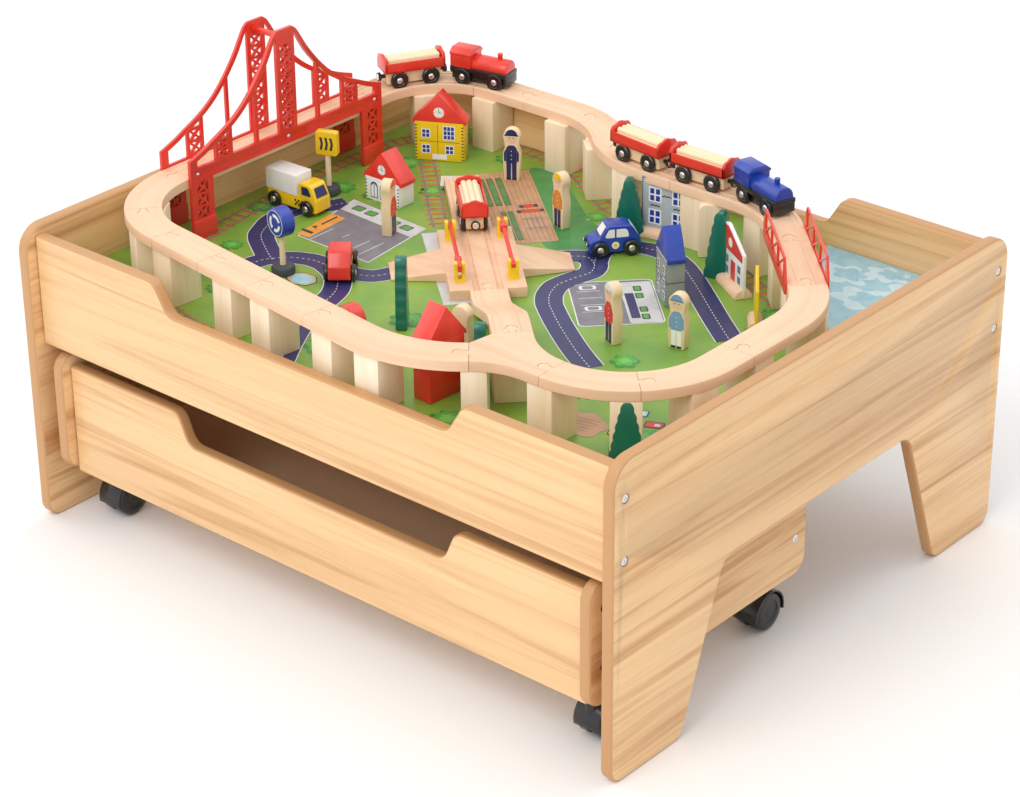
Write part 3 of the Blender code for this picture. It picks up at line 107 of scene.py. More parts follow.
# Half the thickness of the flat house fronts and of the figures
FRONT_DEPTH = 0.0018
FIGURE_DEPTH = 0.0058

# Degrees above which an edge is rounded, and above which it is shaded sharp
EASE_ANGLE = 35
SHARP_ANGLE = 38

# Track
TRACK_WIDTH = 0.042
TRACK_THICK = 0.012
GAUGE_HALF = 0.013
GROOVE_HALF = 0.0035
GROOVE_DEPTH = 0.0008
GROOVE_ROUND = 0.0005
SEAM = 0.0005
PEG_NECK_HALF = 0.0034
PEG_REACH = 0.0105
PEG_RADIUS = 0.0060
PEG_PLAY = 0.0005
ARC_STEP = 3
PIER_LONG = 0.032
PIER_WIDE = 0.040

# Layout of the track, as in the CAD model
CURVE_RADIUS = 0.116
WIDE_CURVE_RADIUS = 0.150
BACK_CURVE_RADIUS = 0.105
S_RADIUS = 0.128
BRIDGE_X = -0.3805
BRIDGE_FRONT = -0.132
BRIDGE_BACK = 0.176
FRONT_LEAD = 0.006
BACK_LEAD = 0.0185
SWITCH_STEM = Vector((0.2545, -0.234))
SWITCH_LEFT = (0.022, 0.100, 41)
SWITCH_RIGHT = (0.110, 43, 0.010)
RIGHT_STRAIGHT = 0.118
BEND_TURN = 45
LOWER_RUN = 0.1295
RAMP_LEVEL = 0.030
RAMP_SLOPE = 0.185
RAMP_FOOT = 0.020
RAMP_BEND = 0.16
PIER_INWARD_FRONT = 0.003
PIER_INWARD_BACK = 0.008
FENCE_HIGH = 0.026
FENCE_LOW = -0.0115
FENCE_THICK = 0.0026
FENCE_BAR = 0.0030
FENCE_MARGIN = 0.003
FENCE_CELLS = 3

# Bridge sides: distances from the tower's middle, and heights
TRUSS_HALF = 0.1575
TRUSS_THICK_NEAR = 0.0045
TRUSS_THICK_FAR = 0.0033
LEG_INNER = 0.1235
LEG_BAR = 0.0088
LEG_FOOT_TOP = 0.3155
BEAM_BOTTOM = 0.3625
BEAM_TOP_NEAR = 0.3785
BEAM_TOP_FAR = 0.3695
TOWER_HALF = 0.0145
TOWER_OPEN = 0.0088
TOWER_OPEN_TOP = 0.4850
TOWER_BAR_HEIGHT = 0.4915
RIVET_REACH = 0.146
RIVET_HEIGHT = 0.3705
HANGER = (0.0482, 0.0528)
PANEL = (0.0903, 0.1167)
END_OPEN = 0.1465
LATTICE_BAR = 0.0026
CABLE_THICK = 0.0058
CABLE = (
    (0.0125, 0.5028), (0.0190, 0.4975), (0.0260, 0.4870), (0.0345, 0.4735), (0.0470, 0.4570),
    (0.0590, 0.4435), (0.0720, 0.4312), (0.0880, 0.4197), (0.1050, 0.4107), (0.1200, 0.4040),
    (0.1340, 0.3975), (0.1500, 0.3915), (0.1575, 0.3890),
)


# Finishes


class Link:
    """A node's output, so that sums on it are written as Python."""

    def __init__(self, finish, socket):
        self.finish = finish
        self.socket = socket

    def __add__(self, other):
        return self.finish.math("ADD", self, other)

    def __sub__(self, other):
        return self.finish.math("SUBTRACT", self, other)

    def __mul__(self, other):
        return self.finish.math("MULTIPLY", self, other)

    def __rsub__(self, other):
        return self.finish.math("SUBTRACT", other, self)

    __radd__ = __add__
    __rmul__ = __mul__


class Finish:
    """A material whose nodes are added by plain calls."""

    def __init__(self, name, colour, roughness, metallic=0.0, coat=0.0):
        self.material = bpy.data.materials.new(name)
        self.material.use_nodes = True
        self.tree = self.material.node_tree
        self.shader = self.tree.nodes["Principled BSDF"]
        self.set("Base Color", (*colour, 1.0))
        self.set("Roughness", roughness)
        self.set("Metallic", metallic)
        self.set("Coat Weight", coat)
        self.set("Coat Roughness", 0.12)

    def put(self, socket, value):
        if isinstance(value, Link):
            self.tree.links.new(value.socket, socket)
        else:
            socket.default_value = value

    def set(self, socket, value):
        self.put(self.shader.inputs[socket], value)

    def node(self, kind, settings, values, output=0):
        """Any node: its settings first, then the values or links of its inputs."""
        made = self.tree.nodes.new(kind)
        for key, value in settings.items():
            setattr(made, key, value)
        for key, value in values.items():
            self.put(made.inputs[key], value)
        return Link(self, made.outputs[output])

    def math(self, operation, *values):
        return self.node("ShaderNodeMath", {"operation": operation}, dict(enumerate(values)))

    def coordinates(self, scale, source="Object"):
        place = self.node("ShaderNodeTexCoord", {}, {}, source)
        return self.node("ShaderNodeMapping", {}, {"Vector": place, "Scale": scale})

    def noise(self, place, scale, detail=3.0, distortion=0.0):
        values = {"Vector": place, "Scale": scale, "Detail": detail, "Distortion": distortion}
        return self.node("ShaderNodeTexNoise", {}, values)

    def spread(self, value, low, high):
        """A value rescaled so that low becomes 0 and high becomes 1, and cut off there."""
        values = {"Value": value, "From Min": low, "From Max": high}
        return self.node("ShaderNodeMapRange", {}, values)

    def blend(self, factor, first, second):
        mix = self.tree.nodes.new("ShaderNodeMix")
        mix.data_type = "RGBA"
        self.put(mix.inputs[0], factor)
        self.put(mix.inputs[6], first if isinstance(first, Link) else (*first, 1.0))
        self.put(mix.inputs[7], second if isinstance(second, Link) else (*second, 1.0))
        return Link(self, mix.outputs[2])

    def bump(self, height, strength, distance):
        values = {"Height": height, "Strength": strength, "Distance": distance}
        self.set("Normal", self.node("ShaderNodeBump", {}, values))


def grain_scale(along, long, across):
    """Scales that stretch a pattern along one axis."""
    return tuple(long if axis == along else across for axis in "XYZ")


def wood(name, pale, dark, along, roughness=0.45, contrast=1.0, coat=0.0, source="Object"):
    """Sawn or printed wood, with broad streaks, fine fibres and short pores along one axis."""
    made = Finish(name, pale, roughness, coat=coat)
    broad = made.noise(made.coordinates(grain_scale(along, 1.6, 15), source), 1.0, 3.0, 0.7)
    streak = made.noise(made.coordinates(grain_scale(along, 5, 75), source), 1.0, 4.0, 0.5)
    fibre = made.noise(made.coordinates(grain_scale(along, 30, 900), source), 1.0, 2.0)
    mix = made.spread(broad, 0.42, 0.66) * 0.50 + made.spread(streak, 0.46, 0.72) * 0.40
    mix = (mix + made.spread(fibre, 0.45, 0.75) * 0.18) * contrast
    made.set("Base Color", made.blend(mix, pale, dark))
    made.set("Roughness", roughness + 0.10 * fibre)
    made.bump(fibre, 0.15, 0.0003)
    return made.material


def laminate(name, pale, dark, along, contrast):
    """Printed oak look: long wavering bands, narrow dark streaks and fine pores along one axis."""
    made = Finish(name, pale, 0.42, coat=0.12)
    band = made.noise(made.coordinates(grain_scale(along, 0.9, 13)), 1.0, 2.0, 1.6)
    vein = made.noise(made.coordinates(grain_scale(along, 1.3, 42)), 1.0, 4.0, 1.4)
    line = made.noise(made.coordinates(grain_scale(along, 4, 170)), 1.0, 3.0, 0.4)
    pore = made.noise(made.coordinates(grain_scale(along, 45, 1100)), 1.0, 2.0)
    mix = made.spread(band, 0.42, 0.68) * 0.26 + made.spread(vein, 0.50, 0.68) * 0.52
    mix = mix + made.spread(line, 0.50, 0.74) * 0.26 + made.spread(pore, 0.52, 0.75) * 0.10
    made.set("Base Color", made.blend(mix * contrast, pale, dark))
    made.set("Roughness", 0.38 + 0.10 * pore)
    made.bump(pore, 0.12, 0.0003)
    return made.material


def paint(name, colour, roughness=0.28, coat=0.4, fade=0.85):
    """Thick toy paint or moulded plastic, a little uneven in gloss and tone."""
    made = Finish(name, colour, roughness, coat=coat)
    cloud = made.noise(made.coordinates((1, 1, 1)), 60.0, 3.0)
    dull = tuple(part * fade for part in colour)
    made.set("Base Color", made.blend(made.spread(cloud, 0.3, 0.75), colour, dull))
    made.set("Roughness", roughness + 0.12 * cloud)
    speck = made.noise(made.coordinates((1, 1, 1)), 700.0, 2.0)
    made.bump(speck, 0.06, 0.0003)
    return made.material


def metal(name, colour, roughness):
    made = Finish(name, colour, roughness, metallic=1.0)
    brushed = made.noise(made.coordinates((1, 1, 1)), 900.0, 2.0)
    made.set("Roughness", roughness + 0.15 * brushed)
    return made.material


def printed(name, colour, second, size):
    """Flat print with a second tone in soft patches."""
    roughness = 0.42
    made = Finish(name, colour, roughness, coat=0.15)
    patch = made.noise(made.coordinates((1, 1, 0)), size, 4.0, 0.4)
    made.set("Base Color", made.blend(made.spread(patch, 0.40, 0.62), colour, second))
    made.set("Roughness", roughness + 0.08 * patch)
    return made.material


# Modelling


def select_only(*objects):
    bpy.ops.object.select_all(action="DESELECT")
    for obj in objects:
        obj.select_set(True)
    bpy.context.view_layer.objects.active = objects[0]


def in_edit_mode(obj, action):
    """Runs an action on all of an object's mesh in edit mode."""
    select_only(obj)
    bpy.ops.object.mode_set(mode="EDIT")
    bpy.ops.mesh.select_all(action="SELECT")
    action()
    bpy.ops.object.mode_set(mode="OBJECT")
    return obj


def mesh_object(name, points, faces, edges=()):
    mesh = bpy.data.meshes.new(name)
    mesh.from_pydata(points, edges, faces)
    obj = bpy.data.objects.new(name, mesh)
    bpy.context.scene.collection.objects.link(obj)
    return obj


def clean(obj, reach=0.00001):
    """Merges doubles and turns every face outwards."""

    def tidy():
        bpy.ops.mesh.remove_doubles(threshold=reach)
        bpy.ops.mesh.normals_make_consistent(inside=False)

    return in_edit_mode(obj, tidy)


def apply_modifier(obj, kind, **settings):
    select_only(obj)
    modifier = obj.modifiers.new(kind.lower(), kind)
    for key, value in settings.items():
        setattr(modifier, key, value)
    bpy.ops.object.modifier_apply(modifier=modifier.name)
    return obj


def ease(obj, width, segments=2):
    """Rounds a piece's edges and shades it smooth between them."""
    if width > 0:
        apply_modifier(
            obj, "BEVEL", width=width, segments=segments, limit_method="ANGLE",
            angle_limit=math.radians(EASE_ANGLE), use_clamp_overlap=True,
        )
    select_only(obj)
    bpy.ops.object.shade_smooth_by_angle(angle=math.radians(SHARP_ANGLE))
    return obj


def into_place(obj, place):
    """Puts a transform into the mesh."""
    obj.data.transform(place)
    obj.data.update()
    return obj


def copied(obj, name, place=None):
    again = bpy.data.objects.new(name, obj.data.copy())
    bpy.context.scene.collection.objects.link(again)
    return into_place(again, place) if place else again


def removed(*objects):
    for obj in objects:
        bpy.data.objects.remove(obj, do_unlink=True)


def joined(name, pieces):
    """One object from several, with their meshes left apart inside it."""
    select_only(*pieces)
    if len(pieces) > 1:
        bpy.ops.object.join()
    pieces[0].name = name
    return pieces[0]


def block(name, low, high, edge=0.0, segments=2):
    """An eased block between two corners."""
    low, high = Vector(low), Vector(high)
    bpy.ops.object.select_all(action="DESELECT")
    bpy.ops.mesh.primitive_cube_add(size=1, location=(low + high) / 2)
    obj = bpy.context.object
    obj.name = name
    obj.scale = high - low
    bpy.ops.object.transform_apply(location=True, rotation=True, scale=True)
    return ease(obj, edge, segments)


def plate(name, outline, plane, low, high, edge=0.0, segments=2):
    """An outline in the XY, XZ or YZ plane, extruded along the third axis and eased."""
    corner = {"XY": lambda a, b: (a, b, low), "XZ": lambda a, b: (a, low, b), "YZ": lambda a, b: (low, a, b)}
    along = {"XY": (0, 0, 1), "XZ": (0, 1, 0), "YZ": (1, 0, 0)}[plane]
    points = [corner[plane](a, b) for a, b in outline]
    obj = mesh_object(name, points, [list(range(len(points)))])

    def thicken():
        bpy.ops.mesh.extrude_region_move(TRANSFORM_OT_translate={"value": Vector(along) * (high - low)})
        bpy.ops.mesh.select_all(action="SELECT")
        bpy.ops.mesh.normals_make_consistent(inside=False)

    return ease(in_edit_mode(obj, thicken), edge, segments)


def upwards(obj):
    """Turns flat faces to look up."""
    for face in obj.data.polygons:
        if face.normal.z < 0:
            face.flip()
    obj.data.update()
    return obj


def turned(name, profile, steps=24, axis="Z", place=(0, 0, 0)):
    """A solid of revolution from (radius, along) points, about an axis through a place."""
    points = [(radius, 0, along) for radius, along in profile]
    edges = [(index, index + 1) for index in range(len(points) - 1)]
    obj = mesh_object(name, points, [], edges)
    apply_modifier(
        obj, "SCREW", steps=steps, render_steps=steps, use_merge_vertices=True, merge_threshold=0.00001
    )
    clean(obj)
    aim = {
        "Z": Matrix.Identity(4),
        "X": Matrix.Rotation(math.pi / 2, 4, "Y"),
        "Y": Matrix.Rotation(-math.pi / 2, 4, "X"),
    }[axis]
    into_place(obj, Matrix.Translation(place) @ aim)
    return ease(obj, 0)


def rod(radius, low, high):
    """The profile of a plain rod for turned()."""
    return [(0, low), (radius, low), (radius, high), (0, high)]


def mirrored(right):
    """An outline from its right half, from the bottom up."""
    return right + [(-point[0], *point[1:]) for point in reversed(right)]


def span(way, near, far):
    """Two distances on one side of the middle, the lower first."""
    return sorted((way * near, way * far))


def combined(obj, operation, tools):
    """Joins or cuts with each tool in turn, and removes the tools."""
    for tool in tools:
        apply_modifier(obj, "BOOLEAN", operation=operation, solver="EXACT", object=tool)
        removed(tool)
    return obj


def arc(centre, radius, start, end, steps):
    points = []
    for index in range(steps + 1):
        angle = math.radians(start + (end - start) * index / steps)
        points.append((centre[0] + radius * math.cos(angle), centre[1] + radius * math.sin(angle)))
    return points


def rounded(corners, step=8):
    """An outline from (x, y, radius) corners, where a radius of 0 leaves the corner sharp."""
    points = []
    count = len(corners)
    for index in range(count):
        here = Vector(corners[index][:2])
        radius = corners[index][2]
        before = (Vector(corners[index - 1][:2]) - here).normalized()
        after = (Vector(corners[(index + 1) % count][:2]) - here).normalized()
        if radius == 0:
            points.append(tuple(here))
            continue
        half = before.angle(after) / 2
        centre = here + (before + after).normalized() * radius / math.sin(half)
        first = here + before * radius / math.tan(half) - centre
        last = here + after * radius / math.tan(half) - centre
        turn = math.atan2(first.x * last.y - first.y * last.x, first.dot(last))
        steps = max(2, round(abs(math.degrees(turn)) / step))
        begin = math.atan2(first.y, first.x)
        for count_up in range(steps + 1):
            angle = begin + turn * count_up / steps
            points.append((centre.x + radius * math.cos(angle), centre.y + radius * math.sin(angle)))
    return points


def soft_rectangle(left, low, right, high, radius, step):
    corners = [(left, low), (right, low), (right, high), (left, high)]
    return rounded([(a, b, radius) for a, b in corners], step)


def eased_node(node, name, edge):
    """A merged and eased copy of a CAD node."""
    obj = bpy.data.objects.new(name, frame["nodes"][node].data.copy())
    bpy.context.scene.collection.objects.link(obj)
    obj.data.materials.clear()

    def merge():
        bpy.ops.mesh.remove_doubles(threshold=0.00002)
        bpy.ops.mesh.dissolve_limited(angle_limit=math.radians(1.0))

    in_edit_mode(obj, merge)
    return ease(obj, edge)


def dress(obj, finish, body, slot, *nodes):
    """Gives a piece its finish and its body, and hides the CAD nodes that it stands for."""
    if finish:
        obj.data.materials.clear()
        obj.data.materials.append(FINISHES[finish])
    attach(obj, body)
    if nodes:
        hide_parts(*nodes)
    return obj


def second_finish(obj, finish, chosen):
    """Gives a second finish to the faces that a test picks."""
    obj.data.materials.append(FINISHES[finish])
    index = len(obj.data.materials) - 1
    for face in obj.data.polygons:
        if chosen(face):
            face.material_index = index
    return obj


# Sizes and colours that a user would change


def colour_property(name, default, description):
    return FloatVectorProperty(
        name=name, default=default, description=description, subtype="COLOR", min=0.0, max=1.0
    )


def size_property(name, default, description):
    return FloatProperty(
        name=name, default=default, description=description, unit="LENGTH", subtype="DISTANCE",
        min=0.0, precision=5,
    )


class TableLook(bpy.types.PropertyGroup):
    """The boards of the table and the drawer."""

    face: colour_property("Face", (0.90, 0.595, 0.305), "Pale tone of the oak-look laminate")
    streak: colour_property("Streak", (0.58, 0.285, 0.105), "Tone of the streaks in the laminate")
    # The edge tone is the boards' own edge colour darkened to the tone of their shaded insides, so it is
    # partly painted shade.
    edge: colour_property("Edge", (0.58, 0.31, 0.13), "Tone of the rounded edges of the boards")
    ease: size_property("Edge rounding", 0.0028, "Radius of the boards' edges")
    screw: size_property("Screw head", 0.0048, "Radius of the screw heads")


class TrackLook(bpy.types.PropertyGroup):
    """The wooden track and the blocks under it."""

    track: colour_property("Track", (0.92, 0.63, 0.42), "Tone of the beech track")
    track_grain: colour_property("Track grain", (0.68, 0.40, 0.22), "Tone of the grain in the track")
    block: colour_property("Block", (0.98, 0.84, 0.63), "Tone of the pine blocks")
    block_grain: colour_property("Block grain", (0.82, 0.59, 0.35), "Tone of the grain in the blocks")
    ease: size_property("Edge rounding", 0.0011, "Radius of the track's upper edges")


class PaintLook(bpy.types.PropertyGroup):
    """Paints and plastics of the toys."""

    red: colour_property("Red", (0.84, 0.040, 0.022), "Red of the bridge, wagons and roofs")
    blue: colour_property("Blue", (0.010, 0.050, 0.40), "Blue of the engine and the car")
    yellow: colour_property("Yellow", (0.98, 0.66, 0.010), "Yellow of the truck, house and posts")
    white: colour_property("White", (0.94, 0.94, 0.93), "White of the house and the windows")
    green: colour_property("Green", (0.002, 0.165, 0.110), "Green of the trees")
    grey: colour_property("Grey", (0.16, 0.22, 0.28), "Grey of the tower")
    black: colour_property("Black", (0.010, 0.011, 0.012), "Black of the wheels and casters")


class StageLook(bpy.types.PropertyGroup):
    """Floor and light."""

    floor: colour_property("Floor", (0.97, 0.97, 0.97), "Tone of the floor")
    key: FloatProperty(name="Key light", default=25.0, description="Power of the large lamp", unit="POWER")
    fill: FloatProperty(name="Fill light", default=8.5, description="Power of the fill lamp", unit="POWER")
    sky: FloatProperty(name="Sky", default=0.78, description="Strength of the light from all round")


def look(name):
    return getattr(bpy.context.scene, "train_table_" + name)


FINISHES = {}


def make_finishes():
    """Every finish, made once and shared by the pieces."""
    table, track, paints = look("table"), look("track"), look("paint")
    FINISHES.update({
        "oak_x": laminate("oak_along_x", table.face, table.streak, "X", 1.05),
        "oak_y": laminate("oak_along_y", table.face, table.streak, "Y", 1.3),
        # Edge finish: partly the real edge tone and partly painted shade, as it takes the darker tone of the
        # boards' shaded insides.
        "oak_edge_painted_shade": wood("oak_edge_painted_shade", table.edge, table.streak, "X", 0.38, 0.5, coat=0.15),
        "beech": wood("beech", track.track, track.track_grain, "X", 0.50, 0.75, source="UV"),
        "beech_flat": wood("beech_flat", track.track, track.track_grain, "X", 0.50, 0.75),
        "pine": wood("pine", track.block, track.block_grain, "Z", 0.55, 0.9),
        "ply": wood("plywood", track.track, track.block_grain, "X", 0.55, 0.6),
        "red": paint("red_paint", paints.red),
        "blue": paint("blue_paint", paints.blue),
        "yellow": paint("yellow_paint", paints.yellow),
        "white": paint("white_paint", paints.white, 0.35, 0.2, 0.95),
        "green": paint("green_paint", paints.green),
        "grey": paint("grey_paint", paints.grey, 0.40, 0.2),
        "black": paint("black_plastic", paints.black, 0.25, 0.3),
        "cream": wood("cream_wood", (0.93, 0.80, 0.55), (0.80, 0.62, 0.36), "X", 0.5, 0.4),
        "pine_light": wood("pale_wood", (0.90, 0.72, 0.47), (0.72, 0.50, 0.27), "Z", 0.5, 0.5),
        "grey_side": paint("grey_block", (0.30, 0.33, 0.33), 0.5, 0.1),
        "grey_pale": paint("grey_card", (0.50, 0.54, 0.58), 0.5, 0.1),
        "grey_dark": paint("grey_rubber", (0.055, 0.065, 0.075), 0.5, 0.1),
        "navy": paint("navy_paint", (0.015, 0.025, 0.12), 0.4, 0.2),
        "orange": paint("orange_paint", (0.80, 0.28, 0.05), 0.4, 0.2),
        "cloth_blue": paint("light_blue_paint", (0.22, 0.38, 0.62), 0.4, 0.2),
        "skin": paint("face_paint", (0.88, 0.60, 0.42), 0.45, 0.1),
        "steel": metal("steel", (0.72, 0.72, 0.73), 0.22),
        "dark_steel": metal("dark_steel", (0.10, 0.095, 0.09), 0.35),
        "grass": printed("grass", (0.255, 0.42, 0.050), (0.165, 0.345, 0.045), 14.0),
        "hardboard": wood("hardboard", (0.42, 0.26, 0.14), (0.32, 0.19, 0.10), "X", 0.6, 0.5),
    })
    tones = {
        "road": ((0.026, 0.028, 0.115), (0.032, 0.034, 0.135)),
        "line": ((0.80, 0.80, 0.78), (0.72, 0.72, 0.70)),
        "asphalt": ((0.215, 0.21, 0.235), (0.185, 0.18, 0.205)),
        "paving": ((0.66, 0.66, 0.65), (0.58, 0.58, 0.58)),
        "orange": ((0.84, 0.37, 0.065), (0.76, 0.31, 0.05)),
        "mark": ((0.03, 0.035, 0.04), (0.05, 0.05, 0.05)),
        "sleeper": ((0.62, 0.22, 0.060), (0.50, 0.16, 0.040)),
        "sleeper_dark": ((0.33, 0.09, 0.02), (0.28, 0.07, 0.02)),
        "rail": ((0.22, 0.22, 0.22), (0.16, 0.16, 0.17)),
        "bush_dark": ((0.050, 0.27, 0.035), (0.040, 0.22, 0.030)),
        "bush": ((0.10, 0.42, 0.060), (0.075, 0.35, 0.050)),
        "bush_light": ((0.19, 0.54, 0.085), (0.14, 0.48, 0.07)),
        "meadow": ((0.050, 0.25, 0.070), (0.065, 0.29, 0.065)),
        "soil": ((0.58, 0.33, 0.18), (0.51, 0.28, 0.15)),
        "furrow": ((0.42, 0.21, 0.10), (0.37, 0.18, 0.08)),
        "crop": ((0.07, 0.21, 0.05), (0.10, 0.27, 0.06)),
        "red": ((0.66, 0.06, 0.03), (0.56, 0.05, 0.03)),
        "yellow": ((0.86, 0.60, 0.04), (0.78, 0.52, 0.03)),
        "shore": ((0.62, 0.48, 0.28), (0.52, 0.39, 0.22)),
        "water": ((0.38, 0.64, 0.74), (0.30, 0.57, 0.70)),
        "wave": ((0.60, 0.79, 0.85), (0.52, 0.74, 0.82)),
    }
    for name, pair in tones.items():
        FINISHES["print_" + name] = printed("print_" + name, *pair, 60.0)


class PieceOperator(bpy.types.Operator):
    """Shared parts of the operators that make pieces."""

    bl_options = {"REGISTER", "UNDO"}

    def execute(self, context):
        if not FINISHES:
            make_finishes()
        self.make()
        return {"FINISHED"}


# Table


def dipped_outline(half, low, high, dip, dip_half, run, radius):
    """A board whose upper edge drops to a dip in the middle through two round bends each side."""
    right = [(half, low, 0), (half, high, 0), (dip_half + run, high, radius), (dip_half, dip, radius)]
    return rounded(mirrored(right))


def dress_board(obj, finish, axis, body, node):
    """Laminate on a board's two broad faces, and on all the rest the edge finish, whose dark tone is partly
    painted shade.
    """
    dress(obj, finish, body, "oak_laminate", node)
    second_finish(obj, "oak_edge_painted_shade", lambda face: abs(face.normal[axis]) < 0.96)


def screw_heads(name, places, way, finish, body):
    """Countersunk screw heads with a six-sided recess, whose axis is X."""
    radius = look("table").screw
    profile = [(0, 0.0009), (radius * 0.42, 0.0009), (radius * 0.45, 0.0011)]
    profile += [(radius * 0.80, 0.0010), (radius, 0.0002), (radius, -0.002), (0, -0.002)]
    heads = []
    for place in places:
        head = turned(name, [(r, along * way) for r, along in profile], 20, "X", place)
        recess = turned(name + "_recess", rod(radius * 0.4, 0.0002 * way, 0.004 * way), 6, "X", place)
        heads.append(combined(head, "DIFFERENCE", [recess]))
    return dress(joined(name, heads), finish, body, "oak_laminate")


class TRAINTABLE_OT_boards(PieceOperator):
    """The two end panels, the front and back board, and their screws"""

    bl_idname = "train_table.boards"
    bl_label = "Table boards"

    def make(self):
        table = look("table")
        low, high = PANEL_BOX
        half, top = high.y, high.z
        right = [(half, top, SHOULDER_ROUND), (half, 0, FOOT_ROUND)]
        right += [(half - FOOT_WIDE, 0, FOOT_ROUND), (ARCH_HALF, ARCH_TOP, ARCH_ROUND)]
        outline = rounded(mirrored(right), 5)
        for name in ("left", "right"):
            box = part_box("end_panel_" + name)
            panel = plate("panel_" + name, outline, "YZ", box[0].x, box[1].x, table.ease, 4)
            way = 1 if name == "right" else -1
            outer = box[1].x if way > 0 else box[0].x
            places = [(outer - SCREW_SUNK * way, y, z) for y, z in PANEL_SCREWS]
            profile = rod(table.screw + SINK_PLAY, -0.0012 * way, 0.004 * way)
            combined(panel, "DIFFERENCE", [turned("sink", profile, 28, "X", place) for place in places])
            dress_board(panel, "oak_y", 0, "table", "end_panel_" + name)
            screw_heads("panel_screws_" + name, places, way, "steel", "table")
        for name in ("front", "back"):
            low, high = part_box(name + "_board")
            outline = dipped_outline(high.x, low.z, high.z, *BOARD_DIP)
            board = plate(name + "_rail", outline, "XZ", low.y, high.y, table.ease, 4)
            dress_board(board, "oak_x", 1, "table", name + "_board")


class TRAINTABLE_OT_drawer(PieceOperator):
    """The rolling drawer: its front with the hand dip, back, ends, floor and screws"""

    bl_idname = "train_table.drawer"
    bl_label = "Drawer"

    def make(self):
        table = look("table")
        low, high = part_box("drawer_front")
        outline = dipped_outline(high.x, low.z, high.z, *DRAWER_DIP)
        front = plate("drawer_face", outline, "XZ", low.y, high.y, table.ease, 4)
        dress_board(front, "oak_x", 1, "drawer", "drawer_front")
        low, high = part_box("drawer_back")
        back = block("drawer_rear", low, high, table.ease * 0.6, 3)
        dress_board(back, "oak_x", 1, "drawer", "drawer_back")
        for name in ("left", "right"):
            low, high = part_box("drawer_end_" + name)
            outline = soft_rectangle(low.y, low.z, high.y, high.z, DRAWER_END_ROUND, 6)
            end = plate("drawer_side_" + name, outline, "YZ", low.x, high.x, table.ease, 4)
            dress_board(end, "oak_y", 0, "drawer", "drawer_end_" + name)
            way = 1 if name == "right" else -1
            outer = high.x if way > 0 else low.x
            for key, y, finish in (("", -0.3145, "dark_steel"), ("back_", 0.006, "steel")):
                places = [(outer, y, z) for z in DRAWER_SCREW_HEIGHTS]
                screw_heads(f"drawer_{key}screws_{name}", places, way, finish, "drawer")
        frame["nodes"]["drawer_floor"].data.materials.clear()
        frame["nodes"]["drawer_floor"].data.materials.append(FINISHES["ply"])


class TRAINTABLE_OT_casters(PieceOperator):
    """The four twin-wheel casters: plate, hood and wheels with their hub discs"""

    bl_idname = "train_table.casters"
    bl_label = "Casters"

    def make(self):
        for corner in ("front_left", "front_right", "back_left", "back_right"):
            low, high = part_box("caster_wheels_" + corner)
            centre = (low + high) / 2
            radius = (high.z - low.z) / 2
            half = (high.x - low.x) / 2
            wheels = []
            for way in (-1, 1):
                inner, outer = way * 0.003, way * half
                profile = [
                    (0, inner), (radius - 0.0012, inner), (radius, inner + way * 0.0012),
                    (radius, outer - way * 0.0035), (radius - 0.0012, outer - way * 0.0014),
                    (radius - 0.0042, outer), (radius * 0.62, outer), (radius * 0.58, outer - way * 0.0012),
                    (radius * 0.30, outer - way * 0.0012), (radius * 0.26, outer - way * 0.0004),
                    (0, outer - way * 0.0001),
                ]
                wheels.append(turned("wheel", profile, 40, "X", centre))
            axle = turned("axle", rod(0.0025, -0.004, 0.004), 12, "X", centre)
            pair = joined("caster_roller_" + corner, wheels + [axle])
            dress(pair, "black", "caster_wheels_" + corner, "black_plastic", "caster_wheels_" + corner)
            hood = eased_node("caster_hood_" + corner, "caster_shell_" + corner, 0.0006)
            dress(hood, "black", "caster_" + corner, "black_plastic", "caster_hood_" + corner)
            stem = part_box("caster_hood_" + corner)
            x, y = (stem[0].x + stem[1].x) / 2, centre.y - CASTER_TRAIL
            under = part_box("drawer_floor")[0].z
            level, half = CASTER_PLATE_LEVEL, CASTER_PLATE_HALF
            outline = soft_rectangle(x - half, y - half, x + half, y + half, 0.004, 15)
            pieces = [plate("plate", outline, "XY", level - 0.0004, level + 0.0019, 0.0004)]
            top = level - under - 0.0002
            cup = [(0.0045, 0), (0.0104, 0), (0.0110, 0.0008), (0.0110, 0.0140), (0.0135, top), (0, top)]
            pieces.append(turned("cup", cup, 24, "Z", (x, y, under - 0.0002)))
            head = [(0, -0.0016), (0.0022, -0.0013), (0.0031, -0.0004), (0.0031, 0.0), (0, 0.0)]
            for a in (-CASTER_SCREW, CASTER_SCREW):
                for b in (-CASTER_SCREW, CASTER_SCREW):
                    pieces.append(turned("screw", head, 16, "Z", (x + a, y + b, level - 0.0003)))
            mount = joined("caster_plate_" + corner, pieces)
            dress(mount, "steel", "drawer", "black_plastic")


# Track


def direction(degrees):
    """A level step of one metre at an angle from +X."""
    return Vector((math.cos(math.radians(degrees)), math.sin(math.radians(degrees))))


def bearing(way):
    return math.degrees(math.atan2(way.y, way.x))


def trace(start, heading, moves):
    """Samples (place, heading, distance) along ("straight", length) and ("arc", radius, turn) moves."""
    place = Vector(start)
    distance = 0.0
    samples = [(place.copy(), heading, 0.0)]
    for move in moves:
        if move[0] == "straight":
            place = place + direction(heading) * move[1]
            distance += move[1]
            samples.append((place.copy(), heading, distance))
            continue
        radius, turn = move[1], move[2]
        side = 1 if turn > 0 else -1
        centre = place + direction(heading + 90 * side) * radius
        steps = max(2, round(abs(turn) / ARC_STEP))
        for step in range(1, steps + 1):
            now = heading + turn * step / steps
            here = centre + direction(now - 90 * side) * radius
            samples.append((here, now, distance + radius * math.radians(abs(turn)) * step / steps))
        place = samples[-1][0].copy()
        distance = samples[-1][2]
        heading += turn
    return samples


